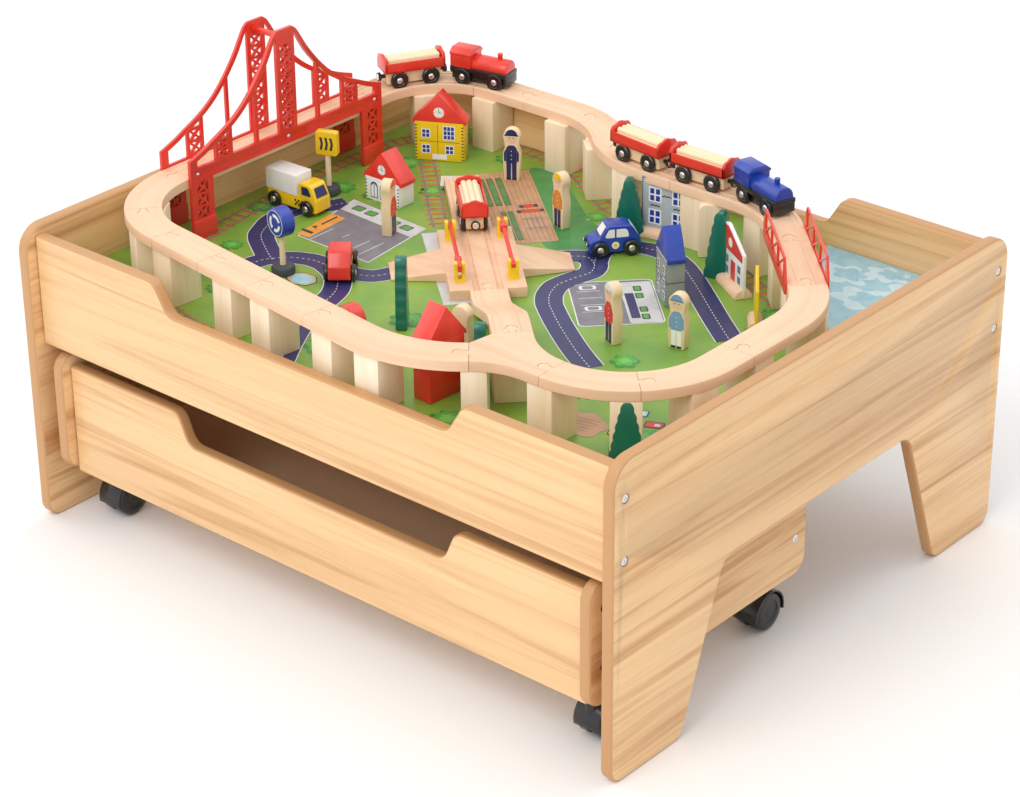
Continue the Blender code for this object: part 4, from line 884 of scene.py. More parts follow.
def at_distance(samples, distance):
    """The place and heading at a distance along a traced path."""
    for before, after in zip(samples, samples[1:]):
        if distance <= after[2] + 1e-9:
            part = (distance - before[2]) / (after[2] - before[2])
            return before[0].lerp(after[0], part), before[1] + (after[1] - before[1]) * part
    return samples[-1][0], samples[-1][1]


def stretch(samples, start, end):
    """The part of a path between two distances."""
    inside = [sample for sample in samples if start + 0.001 < sample[2] < end - 0.001]
    first, last = at_distance(samples, start), at_distance(samples, end)
    return [(*first, start)] + inside + [(*last, end)]


def switch_paths():
    lead, radius, turn = SWITCH_LEFT
    left = trace(SWITCH_STEM, 180, [("straight", lead), ("arc", radius, turn)])
    radius, turn, tail = SWITCH_RIGHT
    right = trace(SWITCH_STEM, 180, [("arc", radius, -turn), ("straight", tail)])
    return left, right


def front_path():
    """From the bridge round the front-left curve, along the front, and up to the switch."""
    near = Vector((BRIDGE_X + CURVE_RADIUS, BRIDGE_FRONT - FRONT_LEAD))
    leg, leg_heading, _ = switch_paths()[0][-1]
    arrive = leg_heading - 180
    far = leg + direction(arrive + 90) * WIDE_CURVE_RADIUS
    between = far - near
    difference = CURVE_RADIUS - WIDE_CURVE_RADIUS
    lean = math.degrees(math.asin(difference / between.length))
    heading = bearing(between) + lean
    run = math.sqrt(between.length_squared - difference**2)
    moves = [("straight", FRONT_LEAD), ("arc", CURVE_RADIUS, heading + 90), ("straight", run)]
    moves.append(("arc", WIDE_CURVE_RADIUS, arrive - heading))
    return trace((BRIDGE_X, BRIDGE_FRONT), -90, moves)


def right_path():
    moves = [("arc", CURVE_RADIUS, 90), ("straight", RIGHT_STRAIGHT), ("arc", CURVE_RADIUS, BEND_TURN)]
    return trace(SWITCH_STEM, 0, moves)


def back_path():
    """The fenced straight, the bend, the lower run, the S and the back-left curve to the bridge."""
    start, heading, _ = right_path()[-1]
    bend = math.radians(BEND_TURN)
    radii = CURVE_RADIUS + 2 * S_RADIUS
    rise = BRIDGE_BACK + BACK_LEAD + BACK_CURVE_RADIUS - start.y - radii * (1 - math.cos(bend))
    fence = rise / math.sin(bend)
    sideways = fence * math.cos(bend) + radii * math.sin(bend) + LOWER_RUN
    upper = start.x - BRIDGE_X - BACK_CURVE_RADIUS - sideways
    moves = [
        ("straight", fence),
        ("arc", CURVE_RADIUS, BEND_TURN),
        ("straight", LOWER_RUN),
        ("arc", S_RADIUS, -BEND_TURN),
        ("arc", S_RADIUS, BEND_TURN),
        ("straight", upper),
        ("arc", BACK_CURVE_RADIUS, 90),
        ("straight", BACK_LEAD),
    ]
    return trace(start, heading, moves)


def bridge_path():
    return trace((BRIDGE_X, BRIDGE_BACK), -90, [("straight", BRIDGE_BACK - BRIDGE_FRONT)])


def ramp_path():
    """The straight branch from the switch down to the crossing deck, in short steps on its slope."""
    start, heading, _ = switch_paths()[1][-1]
    steps = 24
    moves = [("straight", RAMP_LEVEL)] + [("straight", RAMP_SLOPE / steps)] * steps
    return trace(start, heading, moves + [("straight", RAMP_FOOT)])


def ramp_height(distance):
    """A straight slope with a short round bend at each end."""
    part = min(1, max(0, (distance - RAMP_LEVEL) / RAMP_SLOPE))
    near = min(part, 1 - part)
    if near < RAMP_BEND:
        fall = near**2 / (2 * RAMP_BEND * (1 - RAMP_BEND))
    else:
        fall = (near - RAMP_BEND / 2) / (1 - RAMP_BEND)
    return TRACK_TOP - (TRACK_TOP - DECK_TOP) * (fall if part <= 0.5 else 1 - fall)


def track_profile(grooves=True):
    """The track's section as (sideways, down) points, with eased edges and two grooves."""
    edge, soft = TRACK_WIDTH / 2, look("track").ease
    right = [(edge - 0.0006, -TRACK_THICK), (edge, -TRACK_THICK + 0.0006)]
    for angle in (0, 0.52, 1.05, math.pi / 2):
        right.append((edge - soft + soft * math.cos(angle), soft * (math.sin(angle) - 1)))
    if grooves:
        outer, inner = GAUGE_HALF + GROOVE_HALF, GAUGE_HALF - GROOVE_HALF
        right += [(outer + GROOVE_ROUND, 0), (outer, -GROOVE_ROUND), (outer, -GROOVE_DEPTH)]
        right += [(inner, -GROOVE_DEPTH), (inner, -GROOVE_ROUND), (inner - GROOVE_ROUND, 0)]
    return mirrored(right)


def sweep(name, samples, profile, level):
    """A section carried along a path, with a UV map that follows it."""
    height = level if callable(level) else lambda distance: level
    points, faces, along = [], [], []
    last = len(samples) - 1
    for index, (place, heading, distance) in enumerate(samples):
        way = direction(heading)
        left = Vector((-way.y, way.x))
        shift = SEAM / 2 if index == 0 else -SEAM / 2 if index == last else 0
        for side, down in profile:
            spot = place + way * shift + left * side
            points.append((spot.x, spot.y, height(distance) + down))
            along.append((distance, side + down * 1.7))
    count = len(profile)
    for ring in range(last):
        for index in range(count):
            after = (index + 1) % count
            base = ring * count
            faces.append((base + index, base + after, base + count + after, base + count + index))
    faces.append(tuple(range(count)))
    faces.append(tuple(last * count + index for index in reversed(range(count))))
    obj = mesh_object(name, points, faces)
    layer = obj.data.uv_layers.new(name="UVMap")
    for loop in obj.data.loops:
        layer.data[loop.index].uv = along[loop.vertex_index]
    return clean(obj)


def facing(place, heading, height=0.0):
    turn = Matrix.Rotation(math.radians(heading), 4, "Z")
    return Matrix.Translation((place[0], place[1], height)) @ turn


def peg_outline(play):
    """The round-headed peg that joins two track pieces, pointing along +X, or its socket."""
    neck, radius = PEG_NECK_HALF + play, PEG_RADIUS + play
    opening = math.degrees(math.asin(neck / radius))
    return [(-0.002, neck), (-0.002, -neck)] + arc((PEG_REACH, 0), radius, -180 + opening, 180 - opening, 24)


def peg(place, heading, level):
    shape = plate("peg", peg_outline(0), "XY", -TRACK_THICK + SEAM, -SEAM)
    return into_place(shape, facing(place, heading, level))


def socket(place, heading, level):
    shape = plate("socket", peg_outline(PEG_PLAY), "XY", -TRACK_THICK - 0.002, 0.002)
    return into_place(shape, facing(place, heading, level))


def track_run(name, samples, seams, first, last, level=TRACK_TOP, grooves=True):
    """A run of track in its real pieces. First and last say what its ends have: peg, socket or nothing."""
    height = level if callable(level) else lambda distance: level
    total = samples[-1][2]
    stops = [0.0] + list(seams) + [total]
    pieces = []
    for index, (start, end) in enumerate(zip(stops, stops[1:])):
        part = stretch(samples, start, end)
        piece = sweep(f"{name}_{index + 1}", part, track_profile(grooves), level)
        begin, finish = part[0], part[-1]
        here = first if index == 0 else "socket"
        there = last if end == total else "peg"
        pegs, sockets = [], []
        for kind, spot, heading, high in (
            (here, begin[0], begin[1], height(start)),
            (there, finish[0], finish[1] + 180, height(end)),
        ):
            if kind == "socket":
                sockets.append(socket(spot, heading, high))
            if kind == "peg":
                pegs.append(peg(spot, heading + 180, high))
        combined(piece, "UNION", pegs)
        combined(piece, "DIFFERENCE", sockets)
        pieces.append(ease(piece, 0))
    return pieces


def pier_block(place, heading, aside, long):
    """A pine block that stands on the play board under the track."""
    low, high = (-long / 2, -PIER_WIDE / 2, PLAY_TOP), (long / 2, PIER_WIDE / 2, TRACK_TOP - TRACK_THICK)
    shape = block("pier", low, high, 0.0009)
    return into_place(shape, facing(place, heading) @ Matrix.Translation((0, aside, 0)))


def piers(name, samples, distances, aside=0.0, long=PIER_LONG):
    made = [pier_block(*at_distance(samples, distance), aside, long) for distance in distances]
    return dress(joined(name, made), "pine", "table", "beech")


class TRAINTABLE_OT_track(PieceOperator):
    """The raised track in its wooden pieces, with the blocks under it"""

    bl_idname = "train_table.track"
    bl_label = "Track"

    def make(self):
        left, right = switch_paths()
        front, side, back, ramp = front_path(), right_path(), back_path(), ramp_path()
        back_seams = (0.110, 0.200, 0.330, 0.431, 0.530, 0.630, 0.712)
        runs = (
            ("track_front", front, (0.105, 0.180, 0.262, 0.345, 0.440), "socket", "socket", TRACK_TOP),
            ("track_right", side, (0.091, 0.215), "peg", "peg", TRACK_TOP),
            ("track_back", back, back_seams, "socket", "peg", TRACK_TOP),
            ("ramp_track", ramp, (), "socket", "peg", ramp_height),
            ("bridge_deck", bridge_path(), (), "socket", "peg", TRACK_TOP),
        )
        for node, path, seams, first, last, level in runs:
            name = node.replace("track", "rails") + "_piece"
            grooves = node not in ("track_front", "track_right")
            pieces = track_run(name, path, seams, first, last, level, grooves)
            if node == "ramp_track":
                skim = block("board_line", (-1, -1, PLAY_TOP - 0.05), (1, 1, PLAY_TOP + 0.0002))
                combined(pieces[0], "DIFFERENCE", [skim])
                ease(pieces[0], 0)
            dress(pieces[0], "beech", "table", "beech", node)
            for piece in pieces[1:]:
                dress(piece, "beech", "table", "beech")
        front_places = [0.074, 0.130, 0.1906, 0.2973, 0.3618, 0.4645, 0.530]
        piers("piers_front", front, front_places, PIER_INWARD_FRONT)
        piers("piers_right", side, [0.079, 0.150, 0.235, side[-1][2] - 0.030])
        piers("pier_stem", left, [0.0])
        piers("pier_leg", left, [left[-1][2] - 0.006], 0.0, 0.0265)
        piers("piers_back", back, [0.030, 0.115, 0.205, 0.300, 0.400])
        piers("piers_back_upper", back, [0.480, 0.575, 0.690, 0.785], PIER_INWARD_BACK)
        piers("pier_ramp", ramp, [0.0075])
        self.make_switch(left, right)
        self.make_fences(back)
        top = TRACK_TOP - TRACK_THICK
        corners = mirrored([(0.0155, PLAY_TOP + 0.0003, 0), (0.0155, top, 0.007)])
        loose = plate("pier_loose", rounded(corners, 12), "XZ", -0.0150, 0.0150, 0.0009)
        into_place(loose, facing((0.1130, 0.2140), 41))
        dress(loose, "pine", "table", "beech")

    def make_switch(self, left, right):
        """The three-way piece: two legs from one stem, and the web between them."""
        edge = TRACK_WIDTH / 2
        switch = sweep("rails_switch", left, track_profile(False), TRACK_TOP)
        branch = sweep("branch", right, track_profile(False), TRACK_TOP)
        corners = []
        for samples, way in ((left, -1), (right, 1)):
            place, heading, _ = samples[-1]
            corners.append(place + direction(heading + 90) * way * (edge - 0.0012))
        corners.append(SWITCH_STEM - Vector((edge, 0)))
        low, high = TRACK_TOP - TRACK_THICK + SEAM, TRACK_TOP - 0.0001
        web = plate("web", [tuple(corner) for corner in corners], "XY", low, high)
        combined(switch, "UNION", [branch, web])
        pegs = [peg(samples[-1][0], samples[-1][1], TRACK_TOP) for samples in (left, right)]
        combined(switch, "UNION", pegs)
        combined(switch, "DIFFERENCE", [socket(SWITCH_STEM, 180, TRACK_TOP)])
        ease(switch, 0)
        dress(switch, "beech_flat", "table", "beech", "track_switch")

    def make_fences(self, back):
        """The two latticed guard rails on the slanting straight, with sloping ends."""
        start, heading, _ = back[0]
        inner = TRACK_WIDTH / 2 + 0.0001
        for side in (-1, 1):
            low, high = span(side, inner, inner + FENCE_THICK)
            left, right = FENCE_MARGIN, back[1][2] - FENCE_MARGIN
            slant = FENCE_HIGH * 0.45
            outline = [(left, FENCE_LOW), (right, FENCE_LOW), (right, 0.004), (right - slant, FENCE_HIGH)]
            outline += [(left + slant, FENCE_HIGH), (left, 0.004)]
            rail = plate("fence_" + ("right" if side < 0 else "left"), outline, "XZ", low, high)
            cell = (right - left - 2 * slant) / FENCE_CELLS
            gap, bottom, top = FENCE_BAR * 0.8, 0.0005, FENCE_HIGH - FENCE_BAR
            holes = []
            for index in range(FENCE_CELLS):
                near = left + slant + cell * index + FENCE_BAR / 2
                far = near + cell - FENCE_BAR
                holes.append([(near, bottom), (far - gap, bottom), (near, top - gap / 2)])
                holes.append([(far, top), (near + gap, top), (far, bottom + gap / 2)])
            cutters = [plate("hole", hole, "XZ", low - 0.002, high + 0.002) for hole in holes]
            combined(rail, "DIFFERENCE", cutters)
            into_place(ease(rail, 0.0004), facing(start, heading, TRACK_TOP))
            dress(rail, "red", "table", "red_paint")


def spline(points, closed=False, steps=9):
    """A smooth line through points."""
    count = len(points)
    line = []
    for index in range(count if closed else count - 1):
        around = []
        for offset in (-1, 0, 1, 2):
            at = index + offset
            around.append(Vector(points[at % count if closed else min(max(at, 0), count - 1)]))
        a, b, c, d = around
        for step in range(steps):
            t = step / steps
            bend = (2 * a - 5 * b + 4 * c - d) * t**2 + (3 * b - a - 3 * c + d) * t**3
            line.append((2 * b + (c - a) * t + bend) / 2)
    return line if closed else line + [Vector(points[-1])]


def cable_height(offset):
    """The upper edge of the cable at a distance from the tower."""
    line = spline(CABLE, steps=4)
    for before, after in zip(line, line[1:]):
        if offset <= after.x:
            return before.y + (after.y - before.y) * (offset - before.x) / (after.x - before.x)
    return line[-1].y


def cable_under(offset):
    """The lower edge of the cable, which keeps its thickness across the slope."""
    slope = (cable_height(offset + 0.002) - cable_height(offset - 0.002)) / 0.004
    return cable_height(offset) - CABLE_THICK * math.sqrt(1 + slope**2)


def lattice_holes(low, high, bottom, top, cells, bar):
    """Triangles left open between the crossed bars of cells that are stacked between two heights."""
    holes = []
    middle, half = (low + high) / 2, (high - low) / 2
    rise = (top - bottom) / cells / 2
    slope = rise / half
    offset = bar / 2 * math.sqrt(1 + slope**2)
    for cell in range(cells):
        centre = bottom + rise * (2 * cell + 1)
        for way in (-1, 1):
            reach = slope * half - offset
            inner = middle + way * offset / slope
            edge = middle + way * half
            holes.append([(inner, centre), (edge, centre - reach), (edge, centre + reach)])
            far = centre + way * (rise - bar / 2)
            spread = (rise - bar / 2 - offset) / slope
            holes.append([(middle, centre + way * offset), (middle - spread, far), (middle + spread, far)])
    return holes


def under_cable(near, far, beam_top):
    """The opening between two uprights, from the beam up to the cable."""
    steps = 8
    outline = [(far, beam_top), (near, beam_top)]
    places = [near + (far - near) * step / steps for step in range(steps + 1)]
    return outline + [(place, cable_under(place)) for place in places]


class TRAINTABLE_OT_bridge(PieceOperator):
    """The two pierced red sides of the bridge, with their feet, rivets and the bar between the towers"""

    bl_idname = "train_table.bridge"
    bl_label = "Bridge sides"

    def make(self):
        low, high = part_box("bridge_truss_near")
        middle = (low.y + high.y) / 2
        outer, back = high.x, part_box("bridge_truss_far")[0].x
        self.make_side("near", outer - TRUSS_THICK_NEAR, outer, middle, BEAM_TOP_NEAR)
        self.make_side("far", back, back + TRUSS_THICK_FAR, middle, BEAM_TOP_FAR)
        rivets = []
        for reach in (-RIVET_REACH, 0.0, RIVET_REACH):
            head = [(0, 0.0016), (0.0012, 0.0015), (0.0022, 0.0009)]
            head += [(0.0026, 0.0), (0.0026, -0.001), (0, -0.001)]
            rivets.append(turned("rivet", head, 16, "X", (outer - 0.0012, middle + reach, RIVET_HEIGHT)))
        dress(joined("bridge_rivets", rivets), "steel", "table", "red_paint")
        place = (0, middle, TOWER_BAR_HEIGHT)
        bar = [turned("bar", rod(0.0036, back + 0.001, outer - 0.001), 20, "X", place)]
        inner = outer - TRUSS_THICK_NEAR
        for near, reach in ((inner - 0.0035, inner + 0.001), (back + 0.0025, back + 0.0070)):
            bar.append(turned("collar", rod(0.0052, near, reach), 20, "X", place))
        dress(joined("bridge_tower_bar", bar), "red", "table", "red_paint")

    def openings(self, beam_top):
        """The openings on one side of the tower."""
        inner, outer = PANEL[0] + 0.0042, PANEL[1] - 0.0042
        shoulder = cable_under(outer) - 0.0004
        cut_corner = [(END_OPEN, beam_top + 0.0015), (END_OPEN - 0.0015, beam_top)]
        high, low = cable_under(inner) - 0.0004, shoulder + 0.0016
        holes = [
            under_cable(TOWER_HALF, HANGER[0], beam_top),
            under_cable(HANGER[1], PANEL[0], beam_top),
            cut_corner + under_cable(PANEL[1], END_OPEN, beam_top)[1:],
            [(inner, low), (inner, high), (outer - 0.004, low)],
        ]
        holes += lattice_holes(inner, outer, beam_top + 0.0015, shoulder, 2, LATTICE_BAR)
        leg = (LEG_INNER + LEG_BAR, TRUSS_HALF - LEG_BAR)
        return holes + lattice_holes(*leg, LEG_FOOT_TOP, BEAM_BOTTOM - 0.001, 3, LATTICE_BAR)

    def make_side(self, side, near, far, middle, beam_top):
        """A side from its feet over the cable and the tower, pierced, with a thicker foot on each leg."""
        foot = PLAY_TOP + 0.0003
        right = [(LEG_INNER, BEAM_BOTTOM), (LEG_INNER, foot), (TRUSS_HALF, foot)]
        right += [tuple(point) for point in reversed(spline(CABLE, steps=4))]
        outline = mirrored(right)
        truss = plate("bridge_side_" + side, outline, "YZ", near, far)
        holes = lattice_holes(-TOWER_OPEN, TOWER_OPEN, beam_top + 0.002, TOWER_OPEN_TOP, 8, LATTICE_BAR)
        for hole in self.openings(beam_top):
            holes += [hole, [(-y, z) for y, z in hole]]
        cutters = [plate("hole", hole, "YZ", near - 0.002, far + 0.002) for hole in holes]
        if side == "near":
            cutters.append(block("channel", (far - 0.0012, -0.151, 0.3665), (far + 0.002, 0.151, 0.3748)))
        combined(truss, "DIFFERENCE", cutters)
        ease(truss, 0.0005)
        feet = []
        for way in (-1, 1):
            start, end = span(way, LEG_INNER - 0.0012, TRUSS_HALF + 0.0008)
            out = far + (0.0014 if side == "near" else 0.0010)
            feet.append(block("foot", (near, start, foot), (out, end, LEG_FOOT_TOP - 0.0005), 0.0008))
        truss = into_place(joined(truss.name, [truss] + feet), Matrix.Translation((0, middle, 0)))
        dress(truss, "red", "table", "red_paint", "bridge_truss_" + side)


# Printed board


def evenly(line, step, closed=False):
    """Places and directions at equal steps along a line."""
    ring = line + line[:1] if closed else line
    made, left = [], 0.0
    for before, after in zip(ring, ring[1:]):
        length = (after - before).length
        way = (after - before).normalized()
        while left <= length:
            made.append((before + way * left, way))
            left += step
        left -= length
    return made


def blob(centre, radius, lobes, depth, phase, stretch_by=1.0):
    """A lobed outline, as of a bush or a pond."""
    points = []
    for index in range(lobes * 5):
        angle = 2 * math.pi * index / (lobes * 5)
        reach = radius * (1 + depth * abs(math.sin(angle * lobes / 2 + phase)) - depth / 2)
        points.append((centre[0] + reach * stretch_by * math.cos(angle), centre[1] + reach * math.sin(angle)))
    return points


def drawing(centre, turn):
    """The way from a turned drawing's own (a, b) to a place on the board."""
    way = direction(turn)
    return lambda a, b: (centre[0] + a * way.x - b * way.y, centre[1] + a * way.y + b * way.x)


class Print:
    """Flat printed shapes on the play board, gathered by finish."""

    def __init__(self):
        self.shapes = {}
        self.count = 0

    def add(self, finish, layer, outline, fresh=True):
        """A shape on a layer. Each fresh one lies a hair above the last, so that no two share a plane."""
        self.count += fresh
        level = PLAY_TOP + 0.00008 + 0.00007 * layer + 0.000004 * (self.count % 16)
        points, faces = self.shapes.setdefault(finish, ([], []))
        faces.append(list(range(len(points), len(points) + len(outline))))
        points.extend((a, b, level) for a, b in outline)

    def box(self, finish, layer, centre, wide, deep, turn=0.0, corner=0.0):
        """A rounded rectangle about a centre, turned by some degrees."""
        half, side = wide / 2, deep / 2
        outline = [(-half, -side), (half, -side), (half, side), (-half, side)]
        if corner:
            outline = rounded([(a, b, corner) for a, b in outline], 18)
        at = drawing(centre, turn)
        self.add(finish, layer, [at(a, b) for a, b in outline])

    def boxes(self, centre, turn):
        """Draws boxes at (a, b) on a drawing that is turned about its centre."""
        at = drawing(centre, turn)
        return lambda finish, layer, a, b, wide, deep, corner=0.0: self.box(
            finish, layer, at(a, b), wide, deep, turn, corner
        )

    def bed(self, layer, place, wide, deep, turn):
        """A planted bed with a dark rim."""
        self.box("mark", layer, place, wide, deep, turn, 0.002)
        self.box("bush", layer + 1, place, wide - 0.003, deep - 0.003, turn, 0.002)

    def ribbon(self, finish, layer, line, near, far, closed=False):
        """A strip that runs beside a line, from near to far on its left."""
        count = len(line)
        rims = []
        for index, here in enumerate(line):
            before = line[index - 1] if closed or index else here
            after = line[(index + 1) % count] if closed or index < count - 1 else here
            way = (after - before).normalized()
            left = Vector((-way.y, way.x))
            rims.append((here + left * near, here + left * far))
        for index in range(count if closed else count - 1):
            here, there = rims[index], rims[(index + 1) % count]
            outline = [tuple(here[0]), tuple(there[0]), tuple(there[1]), tuple(here[1])]
            self.add(finish, layer, outline, fresh=index == 0)

    def road(self, points):
        """A navy road with white borders and a dashed middle line."""
        half, border = 0.0152, 0.0011
        line = spline(points)
        self.ribbon("line", 2, line, -half - border, half + border)
        self.ribbon("road", 3, line, -half, half)
        for place, way in evenly(line, 0.0068):
            self.box("line", 4, place, 0.0034, 0.0009, bearing(way))

    def rails(self, points, closed=True):
        """Orange sleepers under two grey rails."""
        line = spline(points, closed)
        for place, way in evenly(line, 0.0138, closed):
            turn = bearing(way)
            self.box("sleeper", 1, place, 0.0066, 0.0275, turn, 0.0014)
            self.box("sleeper_dark", 2, place, 0.0012, 0.0240, turn)
        for side in (-0.0082, 0.0082):
            self.ribbon("rail", 3, line, side - 0.0012, side + 0.0012, closed)

    def bush(self, centre, radius, lobes, phase):
        self.add("bush_dark", 1, blob(centre, radius, lobes, 0.34, phase))
        inner = (centre[0] - radius * 0.10, centre[1] + radius * 0.14)
        self.add("bush", 2, blob(inner, radius * 0.80, lobes, 0.34, phase + 0.5))
        self.add("bush_light", 3, blob(inner, radius * 0.42, max(3, lobes - 2), 0.40, phase + 1.0))

    def make(self):
        for finish, (points, faces) in self.shapes.items():
            sheet = upwards(mesh_object("print_" + finish, points, faces))
            dress(sheet, "print_" + finish, "table", "printed_board")


# Toys


def joint_place(child):
    return Vector(next(joint for joint in frame["joints"] if joint["child"] == child)["pos_m"])


def stand_of(name, wheel_height):
    """Where a vehicle stands, worked out from its two axles."""
    front, rear = joint_place(name + "_wheels_front"), joint_place(name + "_wheels_rear")
    way = front - rear
    middle = (front + rear) / 2
    return facing(middle, bearing(way), middle.z - wheel_height)


def wheel_set(near, far, radius, axle):
    """A pair of wheels with dished faces, and their domed hub caps, about the origin."""
    hub = 0.0040
    wheels, caps = [], []
    for way in (-1, 1):
        face = way * far
        profile = [
            (0, way * near), (radius - 0.0012, way * near), (radius, way * (near + 0.0010)),
            (radius, way * (far - 0.0012)), (radius - 0.0014, face), (radius * 0.62, face),
            (radius * 0.56, face - way * 0.0007), (0, face - way * 0.0007),
        ]
        wheels.append(turned("wheel", profile, 28, "Y"))
        dome = [
            (0, face + way * 0.0010), (hub * 0.5, face + way * 0.0008), (hub * 0.88, face + way * 0.0002),
            (hub, face - way * 0.0005), (hub, face - way * 0.0010), (0, face - way * 0.0010),
        ]
        caps.append(turned("cap", dome, 20, "Y"))
    wheels.append(turned("axle", rod(axle, -near, near), 10, "Y"))
    return joined("wheel_set", wheels), joined("cap_set", caps)


def fit_wheels(name, wheel_height, base, pattern):
    """Copies of a wheel set on a vehicle's two axles."""
    stand = stand_of(name, wheel_height)
    for end, along in (("front", base / 2), ("rear", -base / 2)):
        node = f"{name}_wheels_{end}"
        place = stand @ Matrix.Translation((along, 0, wheel_height))
        wheels = copied(pattern[0], f"{name}_rollers_{end}", place)
        dress(wheels, "black", node, "black_plastic", node)
        dress(copied(pattern[1], f"{name}_caps_{end}", place), "steel", node, "black_plastic")


def placed(name, pieces, stand, finish, slot, *nodes):
    """Joins a vehicle's or a toy's pieces of one finish and stands them in their place."""
    obj = into_place(joined(name, pieces), stand)
    return dress(obj, finish, "table", slot, *nodes)


def side_window(sill, head, radii):
    """A rounded window: its lower and upper edge as (x from, x to, z), and its corners' radii."""
    corners = [(sill[0], sill[2]), (sill[1], sill[2]), (head[1], head[2]), (head[0], head[2])]
    return rounded([(*corner, radius) for corner, radius in zip(corners, radii)], 12)


def windscreen(first, second):
    """A thin pane between two level edges, each given as (x, half its width, z)."""
    points = [Vector((x, way * half, z)) for x, half, z in (first,) for way in (-1, 1)]
    points += [Vector((x, way * half, z)) for x, half, z in (second,) for way in (1, -1)]
    normal = (points[1] - points[0]).cross(points[2] - points[0]).normalized() * 0.0004
    corners = [tuple(point) for point in points + [point + normal for point in points]]
    faces = [(3, 2, 1, 0), (4, 5, 6, 7)] + [(i, (i + 1) % 4, 4 + (i + 1) % 4, 4 + i) for i in range(4)]
    return clean(mesh_object("windscreen", corners, faces), 0.000001)


def on_front(outline, depth, thick=0.00025):
    """A thin print on a toy's front, which faces -Y at the depth."""
    return plate("print", outline, "XZ", -depth - thick, -depth + 0.0002)


def print_on(name, shapes, depth, stand, finish, slot, thick=0.00025):
    """Thin prints of one finish on a toy's front."""
    placed(name, [on_front(shape, depth, thick) for shape in shapes], stand, finish, slot)


def rectangle(x, z, wide, high):
    left, right, low, top = x - wide / 2, x + wide / 2, z - high / 2, z + high / 2
    return [(left, low), (right, low), (right, top), (left, top)]


def panes_of(x, z, columns, rows, wide, high):
    """The panes of a window about its middle, with narrow bars between them."""
    bar = 0.0010
    panes = []
    for column in range(columns):
        for row in range(rows):
            across = x + (column - (columns - 1) / 2) * wide
            up = z + (row - (rows - 1) / 2) * high
            panes.append(rectangle(across, up, wide - bar, high - bar))
    return panes


def magnets(*ends):
    """Black coupling cups and the steel magnets in them, at the ends of a vehicle."""
    reach = 0.044
    cups, discs = [], []
    for way in ends:
        rim = way * (reach - 0.0003)
        cup = [
            (0, way * (reach - 0.012)), (0.0024, way * (reach - 0.012)), (0.0026, way * (reach - 0.0045)),
            (0.0052, way * (reach - 0.0040)), (0.0056, rim - way * 0.0005), (0.0052, rim),
            (0.0046, rim), (0.0044, rim - way * 0.0006), (0, rim - way * 0.0006),
        ]
        cups.append(turned("cup", cup, 20, "X", (0, 0, 0.0115)))
        disc = [(0, way * reach), (0.0036, way * reach)]
        disc += [(0.0041, rim - way * 0.0003), (0, rim - way * 0.0003)]
        discs.append(turned("disc", disc, 20, "X", (0, 0, 0.0115)))
    return cups, discs


def wagon(name, wheels):
    """A log wagon: wooden frame, red tub with arched ends, seven logs and two magnets."""
    stand = stand_of(name, TRAIN_AXLE)
    long, wide = 0.0385, 0.0155
    tub = [block("floor", (-long, -wide, 0.0190), (long, wide, 0.0215), 0.0006)]
    for way in (-1, 1):
        low, high = span(way, wide, wide - 0.0024)
        tub.append(block("side", (-long, low, 0.0192), (long, high, 0.0315), 0.0006))
        ends = span(way, long, long - 0.0034)
        outline = [(-wide, 0.0192), (wide, 0.0192), (wide, 0.0320), (0.0125, 0.0368)]
        outline += arc((0, 0.0300), 0.0100, 52, 128, 8) + [(-0.0125, 0.0368), (-wide, 0.0320)]
        tub.append(plate("end", outline, "YZ", *ends, 0.0006))
    placed(name + "_tub", tub, stand, "red", "red_paint", name)
    frame_block = block("frame", (-0.0340, -0.0100, 0.0035), (0.0340, 0.0100, 0.0192), 0.0009)
    placed(name + "_frame", [frame_block], stand, "pine_light", "red_paint")
    logs = []
    log = [(0, -0.0330), (0.0028, -0.0330), (0.0033, -0.0325)]
    log += [(0.0033, 0.0325), (0.0028, 0.0330), (0, 0.0330)]
    lower = [(y, 0.0270) for y in (-0.0096, -0.0032, 0.0032, 0.0096)]
    for y, z in lower + [(-0.0064, 0.0322), (0.0, 0.0326), (0.0064, 0.0322)]:
        logs.append(turned("log", log, 14, "X", (0, y, z)))
    placed(name + "_logs", logs, stand, "cream", "red_paint")
    cups, discs = magnets(-1, 1)
    placed(name + "_cups", cups, stand, "black", "red_paint")
    placed(name + "_magnets", discs, stand, "steel", "red_paint")
    fit_wheels(name, TRAIN_AXLE, 0.040, wheels)


